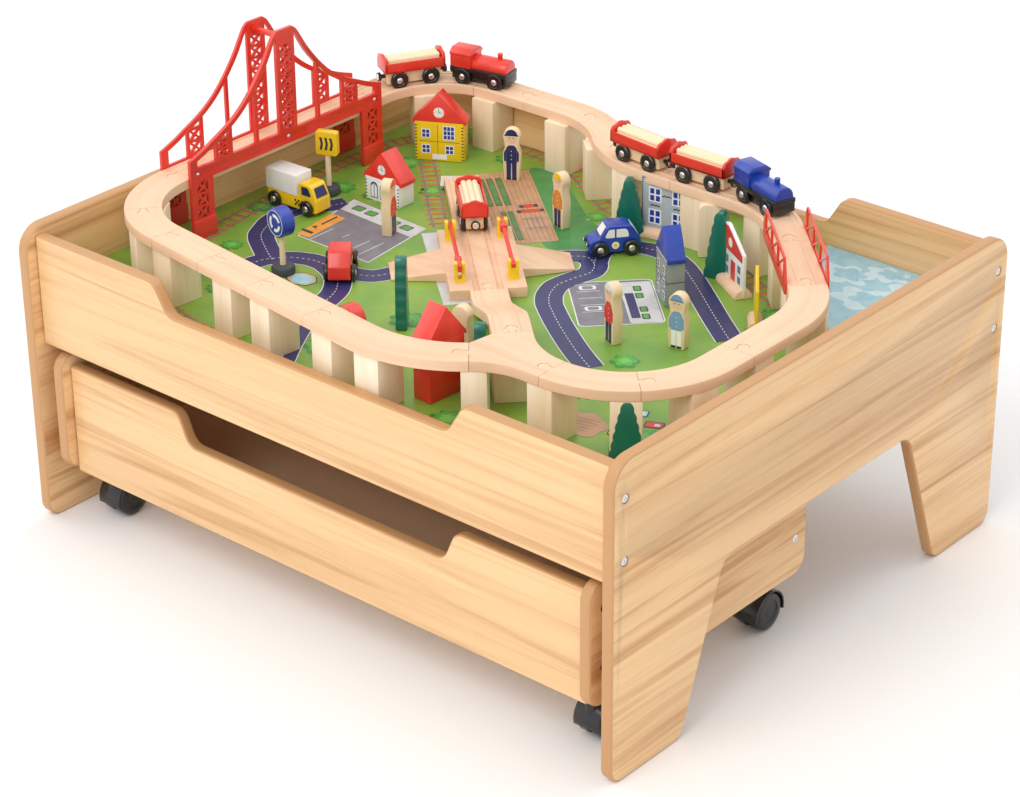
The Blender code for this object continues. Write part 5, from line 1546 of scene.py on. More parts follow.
def engine(name, finish, wheels):
    """An engine: black chassis, painted boiler, cab with a lipped roof, chimney and magnets."""
    stand = stand_of(name, TRAIN_AXLE)
    slot = "red_paint" if name.endswith("red") else "blue_paint"
    chassis = [
        block("footplate", (-0.0385, -0.0148, 0.0150), (0.0385, 0.0148, 0.0205), 0.0010),
        block("frame", (-0.0380, -0.0100, 0.0035), (0.0380, 0.0100, 0.0160), 0.0008),
        block("beam", (0.0345, -0.0140, 0.0045), (0.0384, 0.0140, 0.0160), 0.0008),
    ]
    cups, discs = magnets(-1)
    placed(name + "_chassis", chassis + cups, stand, "black", slot)
    placed(name + "_magnets", discs, stand, "steel", slot)
    outline = [(-0.0125, 0.0195), (0.0125, 0.0195)] + arc((0, 0.0222), 0.0125, 0, 180, 20)
    boiler = plate("boiler", outline, "YZ", -0.014, 0.0376, 0.0016, 3)
    cab = block("cab", (-0.0380, -0.0146, 0.0195), (-0.0100, 0.0146, 0.0372), 0.0010)
    roof_outline = [
        (-0.0153, 0.0352, 0.0008), (0.0153, 0.0352, 0.0008), (0.0153, 0.0378, 0.0012),
        (0.0085, 0.0430, 0.0040), (-0.0085, 0.0430, 0.0040), (-0.0153, 0.0378, 0.0012),
    ]
    roof = plate("roof", rounded(roof_outline, 12), "YZ", -0.0385, -0.0088, 0.0007)
    stack = [(0, 0.030), (0.0031, 0.030), (0.0031, 0.0390), (0.0034, 0.0396)]
    stack += [(0.0034, 0.0408), (0.0028, 0.0415), (0, 0.0415)]
    chimney = turned("chimney", stack, 20, "Z", (0.0235, 0, 0))
    placed(name + "_boiler", [boiler, cab, roof, chimney], stand, finish, slot, name)
    fit_wheels(name, TRAIN_AXLE, 0.044, wheels)


class TRAINTABLE_OT_print(PieceOperator):
    """The play board and its printed roads, parking, field, lake, rails and bushes"""

    bl_idname = "train_table.print"
    bl_label = "Printed play board"

    def make(self):
        low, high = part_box("play_board")
        board = block("board_sheet", low, high)
        dress(board, "grass", "table", "printed_board", "play_board")
        second_finish(board, "hardboard", lambda face: face.normal.z < 0.5)
        sheet_print = Print()
        roads = self.draw_roads(sheet_print)
        self.draw_places(sheet_print)
        self.draw_country(sheet_print)
        self.draw_bushes(sheet_print, roads)
        sheet_print.make()

    def draw_roads(self, paper):
        roads = (
            [(-0.2972, 0.0518), (-0.3013, 0.0409), (-0.3064, 0.0304), (-0.3195, 0.0184),
             (-0.3273, 0.0008), (-0.3309, -0.0204), (-0.3288, -0.0406), (-0.3213, -0.0578),
             (-0.3131, -0.0733), (-0.3029, -0.0839), (-0.2909, -0.0927), (-0.2699, -0.1066),
             (-0.2549, -0.1152)],
            [(-0.2692, -0.1578), (-0.2632, -0.1318), (-0.26, -0.1209), (-0.2534, -0.112),
             (-0.2419, -0.0993), (-0.2266, -0.0914), (-0.2171, -0.0883), (-0.199, -0.0877),
             (-0.1779, -0.0888), (-0.1613, -0.0869), (-0.1487, -0.0821), (-0.1355, -0.0739),
             (-0.1229, -0.0499)],
            [(-0.199, -0.0877), (-0.1777, -0.0954), (-0.16, -0.1076), (-0.1436, -0.1284),
             (-0.1351, -0.1495), (-0.1279, -0.179), (-0.114, -0.215), (-0.0904, -0.2574),
             (-0.0691, -0.291)],
            [(-0.0103, 0.0963), (0.0021, 0.1073), (0.013, 0.1139), (0.0245, 0.1108), (0.0353, 0.1017),
             (0.0422, 0.0871), (0.0411, 0.0744), (0.0382, 0.0637), (0.0355, 0.0465), (0.0358, 0.0328),
             (0.0444, 0.0127), (0.0568, -0.003), (0.0671, -0.0121), (0.0929, -0.032), (0.1222, -0.0528),
             (0.1551, -0.0744), (0.1889, -0.0941)],
            [(0.0299, 0.1074), (0.0175, 0.1332), (0.0222, 0.1562), (0.0439, 0.1724), (0.0746, 0.1771),
             (0.1078, 0.1653), (0.1433, 0.141), (0.1803, 0.1126), (0.22, 0.0816), (0.2632, 0.0491)],
        )
        for points in roads:
            paper.road(points)
        return [spline(points) for points in roads]

    def draw_places(self, paper):
        """Two parking places with their paved strips, and the small marks on them."""
        border = [(-0.2765, -0.0521), (-0.2968, 0.0633), (-0.1760, 0.0554), (-0.1646, -0.0540)]
        ground = [(-0.2752, -0.0506), (-0.2949, 0.0616), (-0.1775, 0.0539), (-0.1664, -0.0524)]
        strip = [(-0.2949, 0.0616), (-0.1775, 0.0539), (-0.1746, 0.0268), (-0.2899, 0.0330)]
        paper.add("line", 2, border)
        paper.add("asphalt", 3, ground)
        paper.add("line", 4, strip)
        paper.add("paving", 5, [ground[1], ground[2], strip[2], strip[3]])
        paper.add("orange", 4, [(-0.2808, -0.0489), (-0.2894, 0.0172), (-0.2673, 0.0177), (-0.2629, -0.0476)])
        for outline in (
            [(-0.2857, -0.0337), (-0.2683, -0.0336), (-0.2672, -0.0388), (-0.2840, -0.0387)],
            [(-0.2816, -0.0231), (-0.2776, -0.0173), (-0.2737, -0.0255)],
            [(-0.2784, -0.0115), (-0.2785, 0.0153), (-0.2757, 0.0140), (-0.2752, -0.0132)],
        ):
            paper.add("mark", 5, outline)
        for start, end in (
            ((-0.2586, -0.0504), (-0.2581, -0.0119)),
            ((-0.2338, -0.0234), (-0.2326, -0.0115)),
            ((-0.2044, -0.0457), (-0.2031, -0.0096)),
            ((-0.1877, -0.0491), (-0.1871, -0.0034)),
        ):
            way = Vector(end) - Vector(start)
            middle = (Vector(start) + Vector(end)) / 2
            paper.box("line", 4, middle, way.length, 0.0010, bearing(way))
        for part in (0.16, 0.34, 0.66, 0.84):
            far = Vector(ground[1]).lerp(Vector(ground[2]), part)
            near = Vector(ground[0]).lerp(Vector(ground[3]), part)
            paper.bed(6, far.lerp(near, 0.115), 0.015, 0.012, 0.0)
        centre, turn = (0.112, 0.044), -43.5
        box, at = paper.boxes(centre, turn), drawing(centre, turn)
        box("line", 2, 0, 0, 0.110, 0.095, 0.007)
        box("asphalt", 3, 0, 0, 0.107, 0.092, 0.006)
        box("paving", 4, 0.002, 0.027, 0.102, 0.036, 0.003)
        box("road", 5, 0.010, 0.017, 0.062, 0.010, 0.001)
        for index in range(5):
            box("line", 4, -0.048 + 0.017 * index, -0.026, 0.0009, 0.026)
        for a in (-0.032, -0.014, 0.020, 0.038):
            paper.bed(5, at(a, 0.028), 0.013, 0.009, turn)
        for a in (-0.040, 0.012):
            box("line", 5, a, -0.026, 0.010, 0.019, 0.003)
            box("asphalt", 6, a, -0.026, 0.007, 0.012, 0.002)

    def draw_country(self, paper):
        """The ploughed field, meadow, pond, lake, yard and the printed railway."""
        box = paper.boxes((-0.148, 0.168), -40)
        bank = spline([
            (-0.195, 0.262), (-0.150, 0.266), (-0.062, 0.205), (0.000, 0.168), (0.016, 0.130),
            (-0.012, 0.104), (-0.050, 0.112), (-0.110, 0.175),
        ], True)
        paper.add("meadow", 1, [tuple(point) for point in bank])
        box("soil", 2, 0.008, -0.004, 0.204, 0.088, 0.003)
        for index in range(15):
            box("furrow", 3, 0.008, -0.044 + 0.0058 * index, 0.196, 0.0009)
        for a, b, wide in ((-0.0375, -0.0215, 0.0064), (-0.0375, -0.0110, 0.0064), (-0.0375, -0.0005, 0.0064),
                           (0.0605, -0.0100, 0.0052), (0.0605, -0.0020, 0.0052)):
            box("mark", 4, a, b, 0.081, wide + 0.0012, 0.0018)
            box("crop", 5, a, b, 0.079, wide, 0.0016)
        for a, deep in ((0.009, 0.016), (0.023, 0.026)):
            for side in (-1, 1):
                box("mark", 4, a, 0.022 + side * deep / 2, 0.008, 0.0065, 0.0015)
            box("red", 5, a, 0.022, 0.0095, deep - 0.004, 0.0020)
        for index in range(4):
            box("rail", 4, 0.058, 0.0130 + 0.006 * index, 0.034, 0.0011)
        for a in (0.045, 0.071):
            box("rail", 5, a, 0.022, 0.0014, 0.026)
        paper.box("paving", 1, (-0.0867, -0.0038), 0.190, 0.040, -40.5)
        paper.box("line", 3, (-0.2376, 0.182), 0.0435, 0.030, 39.7)
        pond = (-0.1925, -0.1312)
        paper.add("mark", 2, blob(pond, 0.0150, 7, 0.10, 0.8, 1.25))
        paper.add("shore", 3, blob(pond, 0.0138, 7, 0.10, 0.8, 1.25))
        paper.add("water", 4, blob(pond, 0.0105, 6, 0.08, 0.8, 1.25))
        shore = spline([
            (0.196, 0.330), (0.214, 0.290), (0.222, 0.262), (0.246, 0.236), (0.262, 0.200),
            (0.292, 0.180), (0.308, 0.150), (0.342, 0.134), (0.366, 0.104), (0.4115, 0.096),
        ])
        paper.ribbon("shore", 1, shore, -0.005, 0.004)
        edge = [(min(max(a, -0.4), 0.4045), min(b, 0.3130)) for a, b in shore]
        paper.add("water", 2, edge + [(0.4045, 0.3130)])
        for x, y, size in (
            (0.262, 0.262, 0.020), (0.318, 0.222, 0.024), (0.372, 0.182, 0.020), (0.300, 0.290, 0.016),
            (0.360, 0.262, 0.026), (0.350, 0.148, 0.012), (0.390, 0.120, 0.010), (0.388, 0.300, 0.012),
        ):
            paper.add("wave", 3, blob((x, y), size, 6, 0.5, x * 60, 1.5))
            paper.add("water", 4, blob((x + 0.004, y + 0.003), size * 0.62, 5, 0.5, y * 50, 1.5))
        paper.rails([
            (-0.352, -0.150), (-0.360, -0.099), (-0.3667, -0.054), (-0.3723, -0.007), (-0.379, 0.060),
            (-0.380, 0.142), (-0.376, 0.215), (-0.345, 0.268), (-0.280, 0.298), (-0.215, 0.303),
            (-0.1545, 0.2926), (-0.0788, 0.2486), (-0.0406, 0.2312), (0.020, 0.224), (0.090, 0.224),
            (0.145, 0.204), (0.1977, 0.178), (0.2472, 0.1564), (0.300, 0.125), (0.345, 0.075),
            (0.362, 0.010), (0.366, -0.070), (0.366, -0.150), (0.350, -0.215), (0.300, -0.258),
            (0.220, -0.284), (0.100, -0.296), (-0.100, -0.296), (-0.220, -0.286), (-0.300, -0.255),
            (-0.338, -0.205),
        ])
        siding = [(-0.315, 0.209), (-0.268, 0.165), (-0.233, 0.132), (-0.199, 0.099), (-0.166, 0.070)]
        paper.rails(siding, False)
        paper.add("soil", 2, blob((0.258, -0.196), 0.024, 6, 0.2, 0.2, 1.2))
        for index in range(5):
            paper.box("furrow", 3, (0.258, -0.208 + 0.006 * index), 0.030 + 0.004 * (index % 2), 0.0012, 14)
        yard = (
            ("yellow", 0.300, -0.186), ("red", 0.318, -0.150), ("orange", 0.322, -0.206),
            ("water", 0.290, -0.140),
        )
        for finish, x, y in yard:
            paper.box("mark", 3, (x, y), 0.021, 0.014, 24, 0.003)
            paper.box(finish, 4, (x, y), 0.018, 0.011, 24, 0.002)
            paper.box("line", 5, (x + 0.003, y + 0.001), 0.006, 0.005, 24, 0.001)

    def draw_bushes(self, paper, roads):
        """Bushes and flowers wherever there is plain grass."""
        draw = random.Random(11)
        places = (((-0.225, 0.000), 0.095), ((0.112, 0.044), 0.082), ((-0.148, 0.168), 0.095))
        kept = []
        while len(kept) < 36:
            place = Vector((draw.uniform(-0.39, 0.39), draw.uniform(-0.30, 0.30)))
            near_road = min((point - place).length for line in roads for point in line) < 0.034
            on_place = any((place - Vector(centre)).length < reach for centre, reach in places)
            on_water = place.x + place.y > 0.420
            crowded = any((other - place).length < 0.030 for other in kept)
            if not (near_road or on_place or on_water or crowded):
                kept.append(place)
        for place in kept:
            paper.bush(place, draw.uniform(0.011, 0.019), draw.randint(6, 9), draw.uniform(0, 3))
        for index in range(70):
            place = draw.choice(kept) + Vector((draw.uniform(-0.02, 0.02), draw.uniform(-0.02, 0.02)))
            colour = draw.choice(("line", "yellow", "orange"))
            paper.add(colour, 4, blob(place, 0.0010, 5, 0.3, index))


class TRAINTABLE_OT_crossing(PieceOperator):
    """The crossing deck with its road ramps, the yellow posts, and the red arms with their paddles"""

    bl_idname = "train_table.crossing"
    bl_label = "Level crossing"

    def make(self):
        deck = eased_node("crossing_deck", "crossing", 0.0005)
        dress(deck, "beech_flat", "table", "beech", "crossing_deck")
        second_finish(deck, "yellow", lambda face: face.center.z > DECK_TOP + 0.0004)
        for side in ("left", "right"):
            arm = eased_node("gate_arm_" + side, "gate_bar_" + side, 0.0007)
            pivot = joint_place("gate_arm_" + side)
            heading = ramp_path()[-1][1] + (0 if side == "left" else 180)
            paddle = block("paddle", (0.0095, -0.0038, -0.0042), (0.0185, 0.0038, 0.0042), 0.0007)
            into_place(paddle, facing(pivot, heading, pivot.z))
            arm = joined(arm.name, [arm, paddle])
            dress(arm, "red", "gate_arm_" + side, "red_paint", "gate_arm_" + side)


class TRAINTABLE_OT_trains(PieceOperator):
    """The two engines and the four log wagons"""

    bl_idname = "train_table.trains"
    bl_label = "Trains"

    def make(self):
        wheels = wheel_set(0.0107, 0.0153, 0.011, 0.002)
        engine("engine_red", "red", wheels)
        engine("engine_blue", "blue", wheels)
        for name in ("wagon_red_train", "wagon_blue_train_front", "wagon_blue_train_rear", "wagon_crossing"):
            wagon(name, wheels)
        removed(*wheels)


class TRAINTABLE_OT_cars(PieceOperator):
    """The red and the blue car, and the yellow truck with its white box"""

    bl_idname = "train_table.cars"
    bl_label = "Cars and truck"

    def make(self):
        wheels = wheel_set(0.0128, 0.0178, 0.0095, 0.0018)
        self.make_car("car_red", "red", "red_paint", wheels)
        self.make_car("car_blue", "blue", "blue_paint", wheels)
        self.make_truck(wheels)
        removed(*wheels)

    def make_car(self, name, finish, slot, wheels):
        stand = stand_of(name, CAR_AXLE)
        side = 0.0125
        outline = [
            (-0.030, 0.0045, 0.003), (0.030, 0.0045, 0.003), (0.030, 0.018, 0.005), (0.018, 0.022, 0.006),
            (0.009, 0.036, 0.006), (-0.018, 0.036, 0.008), (-0.029, 0.020, 0.006),
        ]
        body = plate("body", rounded(outline, 8), "XZ", -side, side, 0.0012, 3)
        placed(name + "_shell", [body], stand, finish, slot, name)
        glass, marks, knobs, middles = [], [], [], []
        for way in (-1, 1):
            reach = span(way, side - 0.0002, side + 0.0002)
            if name == "car_blue":
                radii = (0.0008, 0.0020, 0.0030, 0.0008)
                ahead = side_window((0.0010, 0.0130, 0.0225), (0.0010, 0.0075, 0.0325), radii)
                radii = (0.0020, 0.0008, 0.0008, 0.0040)
                behind = side_window((-0.0160, -0.0010, 0.0225), (-0.0130, -0.0010, 0.0325), radii)
                glass += [plate("window", part, "XZ", *reach) for part in (ahead, behind)]
                marks.append(plate("badge", arc((0, 0.0130), 0.0044, 0, 330, 11), "XZ", *reach))
                outer = span(way, side, side + 0.0004)
                middles.append(plate("middle", arc((0, 0.0130), 0.0024, 0, 320, 8), "XZ", *outer))
            else:
                middles.append(plate("strip", rectangle(0, 0.0158, 0.050, 0.0012), "XZ", *reach))
            knobs.append(turned("knob", rod(0.0026, 0.0322, 0.0290), 14, "X", (0, way * 0.0080, 0.0150)))
            lamp = [(0, 0.0326), (0.0018, 0.0325), (0.0021, 0.0318), (0, 0.0318)]
            marks.append(turned("lamp", lamp, 14, "X", (0, way * 0.0080, 0.0150)))
        if name == "car_blue":
            glass.append(windscreen((0.0166, 0.0088, 0.0246), (0.0102, 0.0078, 0.0345)))
            glass.append(windscreen((-0.0192, 0.0078, 0.0342), (-0.0258, 0.0088, 0.0246)))
            placed(name + "_windows", glass, stand, "white", slot)
        placed(name + "_badges", marks, stand, "white", slot)
        placed(name + "_knobs", knobs, stand, "black" if name == "car_blue" else finish, slot)
        placed(name + "_trim", middles, stand, "yellow", slot)
        fit_wheels(name, CAR_AXLE, 0.036, wheels)

    def make_truck(self, wheels):
        name = "truck_yellow"
        stand = stand_of(name, CAR_AXLE)
        side = 0.0125
        outline = [
            (-0.038, 0.0045, 0.001), (0.038, 0.0045, 0.003), (0.038, 0.020, 0.005), (0.030, 0.038, 0.006),
            (0.012, 0.038, 0.003), (0.011, 0.0215, 0.001), (-0.038, 0.0215, 0.001),
        ]
        cab = plate("cab", rounded(outline, 10), "XZ", -side, side, 0.0011, 3)
        placed(name + "_cab", [cab], stand, "yellow", "yellow_paint", name)
        box = block("box", (-0.0390, -0.0135, 0.0205), (0.0090, 0.0135, 0.0460), 0.0009, 3)
        placed(name + "_box", [box], stand, "white", "yellow_paint")
        glass, checks = [], []
        for way in (-1, 1):
            reach = span(way, side - 0.0002, side + 0.00025)
            radii = (0.0010, 0.0015, 0.0025, 0.0010)
            window = side_window((0.0160, 0.0310, 0.0245), (0.0160, 0.0262, 0.0350), radii)
            glass.append(plate("window", window, "XZ", *reach))
            for row in range(3):
                for index in range(4):
                    x = 0.0060 + 0.0052 * index + 0.0026 * (row % 2)
                    square = rectangle(x, 0.0100 + 0.0026 * row, 0.0026, 0.0026)
                    checks.append(plate("check", square, "XZ", *reach))
        glass.append(windscreen((0.0367, 0.0092, 0.0235), (0.0318, 0.0082, 0.0345)))
        placed(name + "_windows", glass, stand, "navy", "yellow_paint")
        placed(name + "_checks", checks, stand, "black", "yellow_paint")
        fit_wheels(name, CAR_AXLE, 0.050, wheels)


HOUSES = {
    "house_yellow": (0.060, 0.023, 0.0505, 0.082, (-0.3010, 0.2226), 28),
    "house_white": (0.053, 0.026, 0.0300, 0.060, (-0.2635, 0.0895), 0),
    "house_red": (0.0498, 0.0247, 0.066, 0.099, (0.1060, -0.2360), 86),
    "tower_grey": (0.040, 0.021, 0.057, 0.086, (0.1528, 0.0875), -36),
}


class TRAINTABLE_OT_houses(PieceOperator):
    """The four gabled blocks with their printed windows, clocks and corner marks"""

    bl_idname = "train_table.houses"
    bl_label = "Houses"

    def make(self):
        self.make_house("house_yellow", "yellow", "red", "yellow_paint")
        self.make_house("house_white", "white", "red", "white_paint")
        self.make_house("house_red", "red", "red", "red_paint")
        self.make_house("tower_grey", "grey_side", "blue", "grey_paint")
        self.print_yellow()
        self.print_white()
        self.print_red()
        self.print_tower()

    def stand(self, name):
        return facing(HOUSES[name][4], HOUSES[name][5], PLAY_TOP)

    def make_house(self, name, wall_finish, roof_finish, slot):
        wide, deep, wall, ridge = HOUSES[name][:4]
        half, side = wide / 2, deep / 2
        slope = (ridge - wall) / half
        walls = [block("walls", (-half, -side, 0.0003), (half, side, wall), 0.0007)]
        placed(name + "_walls", walls, self.stand(name), wall_finish, slot, name)
        eave = half + 0.003
        low = wall - slope * 0.003
        outline = [(-eave, low), (-half, wall - 0.001), (half, wall - 0.001), (eave, low)]
        outline += [(eave, low + 0.005), (0, ridge + 0.0035), (-eave, low + 0.005)]
        roof = [plate("roof", outline, "XZ", -side, side, 0.0006)]
        placed(name + "_roof", roof, self.stand(name), roof_finish, slot)

    def add_print(self, name, key, shapes, finish, thick=0.00025):
        """Prints outlines on a house's front."""
        depth = HOUSES[name][1] / 2
        print_on(f"{name}_{key}", shapes, depth, self.stand(name), finish, "white_paint", thick)

    def clock(self, name, height, radius):
        self.add_print(name, "clock", [arc((0, height), radius, 0, 345, 23)], "white")
        hands = [rectangle(0, height + radius * 0.3, radius * 0.10, radius * 0.6)]
        hands.append(rectangle(radius * 0.22, height, radius * 0.5, radius * 0.10))
        for a, b in ((1, 0), (-1, 0), (0, 1), (0, -1)):
            spot = (a * radius * 0.82, height + b * radius * 0.82)
            hands.append(rectangle(*spot, radius * 0.12, radius * 0.12))
        self.add_print(name, "clock_hands", hands, "black", 0.0004)

    def corner_marks(self, name, wide, top):
        marks = []
        for way in (-1, 1):
            for index in range(int(top / 0.0042)):
                marks.append(rectangle(way * (wide / 2 - 0.0014), 0.003 + 0.0042 * index, 0.0022, 0.0014))
        self.add_print(name, "corner_marks", marks, "black")

    def windows(self, name, places, pane_finish):
        """White frames with panes: places are (x, z, columns, rows, pane wide, pane high)."""
        frames, panes = [], []
        for x, z, columns, rows, wide, high in places:
            frames.append(rectangle(x, z, columns * wide + 0.0014, rows * high + 0.0014))
            panes += panes_of(x, z, columns, rows, wide, high)
        self.add_print(name, "panes", panes, pane_finish, 0.0004)
        self.add_print(name, "frames", frames, "white")

    def print_yellow(self):
        name = "house_yellow"
        self.clock(name, 0.0625, 0.0066)
        small = (2, 2, 0.0048, 0.0052)
        places = [(-0.0165, 0.0350, *small), (0.0120, 0.0370, 3, 3, 0.0045, 0.0056)]
        self.windows(name, places + [(-0.0165, 0.0150, *small), (0.0125, 0.0150, *small)], "blue")
        self.corner_marks(name, 0.060, 0.048)
        self.add_print(name, "plaque", [rectangle(0.0, 0.0055, 0.018, 0.0065)], "white")
        lines = [rectangle(0.0, 0.0250, 0.050, 0.0004), rectangle(-0.0020, 0.0280, 0.0004, 0.038)]
        self.add_print(name, "board_lines", lines, "black")

    def print_white(self):
        name = "house_white"
        self.clock(name, 0.0420, 0.0060)
        self.corner_marks(name, 0.053, 0.029)
        frames, panes = [], []
        for x in (-0.0125, 0.0020):
            frames.append([(x - 0.0055, 0.004), (x + 0.0055, 0.004)] + arc((x, 0.0185), 0.0055, 0, 180, 10))
            for way in (-1, 1):
                near, far = x + way * 0.0006, x + way * 0.0045
                panes.append([(near, 0.0050), (far, 0.0050), (far, 0.0185), (near, 0.0222)])
        self.add_print(name, "arch_panes", panes, "white", 0.0004)
        self.add_print(name, "arches", frames, "navy")
        self.add_print(name, "door", [rectangle(0.0165, 0.0095, 0.0095, 0.0175)], "red")

    def print_red(self):
        """Windows on the side that faces away from the photograph."""
        name = "house_red"
        stand = self.stand(name) @ Matrix.Rotation(math.pi, 4, "Z")
        depth = HOUSES[name][1] / 2
        places = [(x, z) for x in (-0.012, 0.012) for z in (0.050, 0.022)]
        frames = [rectangle(x, z, 0.0110, 0.0120) for x, z in places]
        print_on(name + "_frames", frames, depth, stand, "white", "red_paint")
        panes = [pane for x, z in places for pane in panes_of(x, z, 2, 2, 0.0048, 0.0052)]
        print_on(name + "_panes", panes, depth, stand, "navy", "red_paint", 0.0004)

    def print_tower(self):
        name = "tower_grey"
        places = [(x, z, 2, 2, 0.0034, 0.0040) for x in (-0.0105, 0.0105) for z in (0.012, 0.027, 0.042)]
        self.windows(name, places, "navy")
        self.corner_marks(name, 0.040, 0.054)
        band = block("band", (-0.0203, -0.0108, 0.0290), (0.0203, 0.0108, 0.0296))
        placed(name + "_band", [band], self.stand(name), "dark_steel", "grey_paint")
        trim = block("trim", (-0.0206, -0.0106, 0.0560), (0.0206, 0.0106, 0.0568))
        placed(name + "_trim", [trim], self.stand(name), "white", "grey_paint")


class TRAINTABLE_OT_fronts(PieceOperator):
    """The three flat house fronts, each in the slot of a half-round wooden foot"""

    bl_idname = "train_table.fronts"
    bl_label = "House fronts"

    def make(self):
        self.make_grey()
        self.make_white()
        self.make_yellow()

    def foot(self, name, stand, long, radius=0.0105):
        outline = [(-radius, 0.0003), (radius, 0.0003)] + arc((0, 0.0008), radius, 0, 180, 16)
        bar = plate("foot", outline, "YZ", -long / 2, long / 2, 0.0008)
        placed(name + "_foot", [bar], stand, "beech_flat", "beech")

    def base(self, name, outline, stand, finish, slot):
        board = plate("base", outline, "XZ", -FRONT_DEPTH, FRONT_DEPTH, 0.0004)
        placed(name, [board], stand, finish, slot)

    def make_grey(self):
        name = "front_grey"
        stand = facing((0.0520, 0.2110), 12, PLAY_TOP)
        half, top = 0.0315, 0.0720
        self.base(name, rectangle(0, 0.0385, 2 * half, 0.069), stand, "grey_pale", "grey_paint")
        border = []
        for index in range(24):
            z = 0.009 + 0.00265 * index
            border += [rectangle(way * (half - 0.0011), z, 0.0012, 0.0015) for way in (-1, 1)]
        for index in range(23):
            border.append(rectangle(-half + 0.0025 + 0.0026 * index, top - 0.0012, 0.0015, 0.0012))
        print_on(name + "_border", border, FRONT_DEPTH, stand, "dark_steel", "grey_paint")
        frames, panes, scrolls = [], [], []
        for x, z in ((x, z) for x in (-0.0145, 0.0145) for z in (0.0250, 0.0520)):
            frames.append(rectangle(x, z, 0.0160, 0.0180))
            for a in (-0.0036, 0.0036):
                panes += [rectangle(x + a, z + b, 0.0050, 0.0064) for b in (-0.0042, 0.0042)]
        for x, z in ((-0.0145, 0.0655), (0.0145, 0.0655), (-0.0145, 0.0385), (0.0145, 0.0385), (0, 0.0520)):
            for index in range(5):
                spot = (x + 0.0024 * (index - 2), z + 0.0006 * (index % 2))
                scrolls.append(blob(spot, 0.0010, 3, 0.3, index))
        print_on(name + "_frames", frames, FRONT_DEPTH, stand, "white", "grey_paint")
        print_on(name + "_panes", panes, FRONT_DEPTH, stand, "blue", "grey_paint", 0.0004)
        print_on(name + "_scrolls", scrolls, FRONT_DEPTH, stand, "dark_steel", "grey_paint")
        self.foot(name, stand, 0.068)

    def make_white(self):
        name, slot = "front_white", "white_paint"
        stand = facing((0.1900, 0.1535), -31, PLAY_TOP)
        half = 0.0290
        outline = [(-half, 0.004), (half, 0.004), (half, 0.052), (-half * 0.50, 0.0730)]
        self.base(name, outline + [(-half * 0.80, 0.0715), (-half, 0.0620)], stand, "white", slot)
        rim = half - 0.003
        roof = [(-rim, 0.0420), (rim, 0.0420), (rim, 0.0500), (-half * 0.50, 0.0700)]
        roof += [(-half * 0.78, 0.0690), (-rim, 0.0605)]
        door = rectangle(0.0, 0.0200, 0.0120, 0.0280)
        print_on(name + "_red", [roof, door], FRONT_DEPTH, stand, "red", slot)
        disc = arc((-0.0080, 0.0530), 0.0055, 0, 340, 17)
        print_on(name + "_disc", [disc], FRONT_DEPTH, stand, "white", slot, 0.0004)
        panes = [rectangle(x, z, 0.0075, 0.0085) for x in (-0.0170, 0.0170) for z in (0.018, 0.031)]
        print_on(name + "_panes", panes, FRONT_DEPTH, stand, "grey", slot)
        self.foot(name, stand, 0.056)

    def make_yellow(self):
        name, slot = "front_yellow", "yellow_paint"
        stand = facing((0.2601, 0.0983), 129.0, PLAY_TOP)
        half = 0.0200
        outline = [(-half, 0.004), (half, 0.004), (half, 0.048), (0, 0.070), (-half, 0.048)]
        self.base(name, outline, stand, "yellow", slot)
        panes = [rectangle(x, z, 0.0080, 0.0090) for x in (-0.0095, 0.0095) for z in (0.020, 0.036)]
        print_on(name + "_panes", panes, FRONT_DEPTH, stand, "blue", slot)
        self.foot(name, stand, 0.030, 0.0085)


class TRAINTABLE_OT_trees(PieceOperator):
    """The flat green trees with scalloped sides"""

    bl_idname = "train_table.trees"
    bl_label = "Trees"

    def make(self):
        trees = (
            ("tree_back", (0.0115, 0.1931), 32, 0.0695), ("tree_middle", (0.1614, 0.1664), 12, 0.0805),
            ("tree_left", (-0.0313, -0.1425), 128, 0.080), ("tree_right", (0.3375, -0.2190), 38, 0.063),
            ("tree_front", (0.1270, -0.1960), 130, 0.072),
        )
        for name, place, heading, high in trees:
            self.make_tree(name, place, heading, high)

    def make_tree(self, name, place, heading, high):
        """A block with a tapering outline of six scallops a side and a flat crown."""
        right = []
        lobes = 6
        for index in range(lobes * 4 + 1):
            part = index / (lobes * 4)
            reach = 0.0145 * (1 - part) ** 0.75 + 0.0042
            wave = 0.0013 * abs(math.sin(math.pi * lobes * part))
            right.append((reach - 0.0012 + wave, 0.0003 + (high - 0.0003) * part))
        outline = mirrored(right)
        tree = plate("tree", outline, "XZ", -0.0062, 0.0062, 0.0011, 2)
        placed(name, [tree], facing(place, heading, PLAY_TOP), "green", "printed_board")


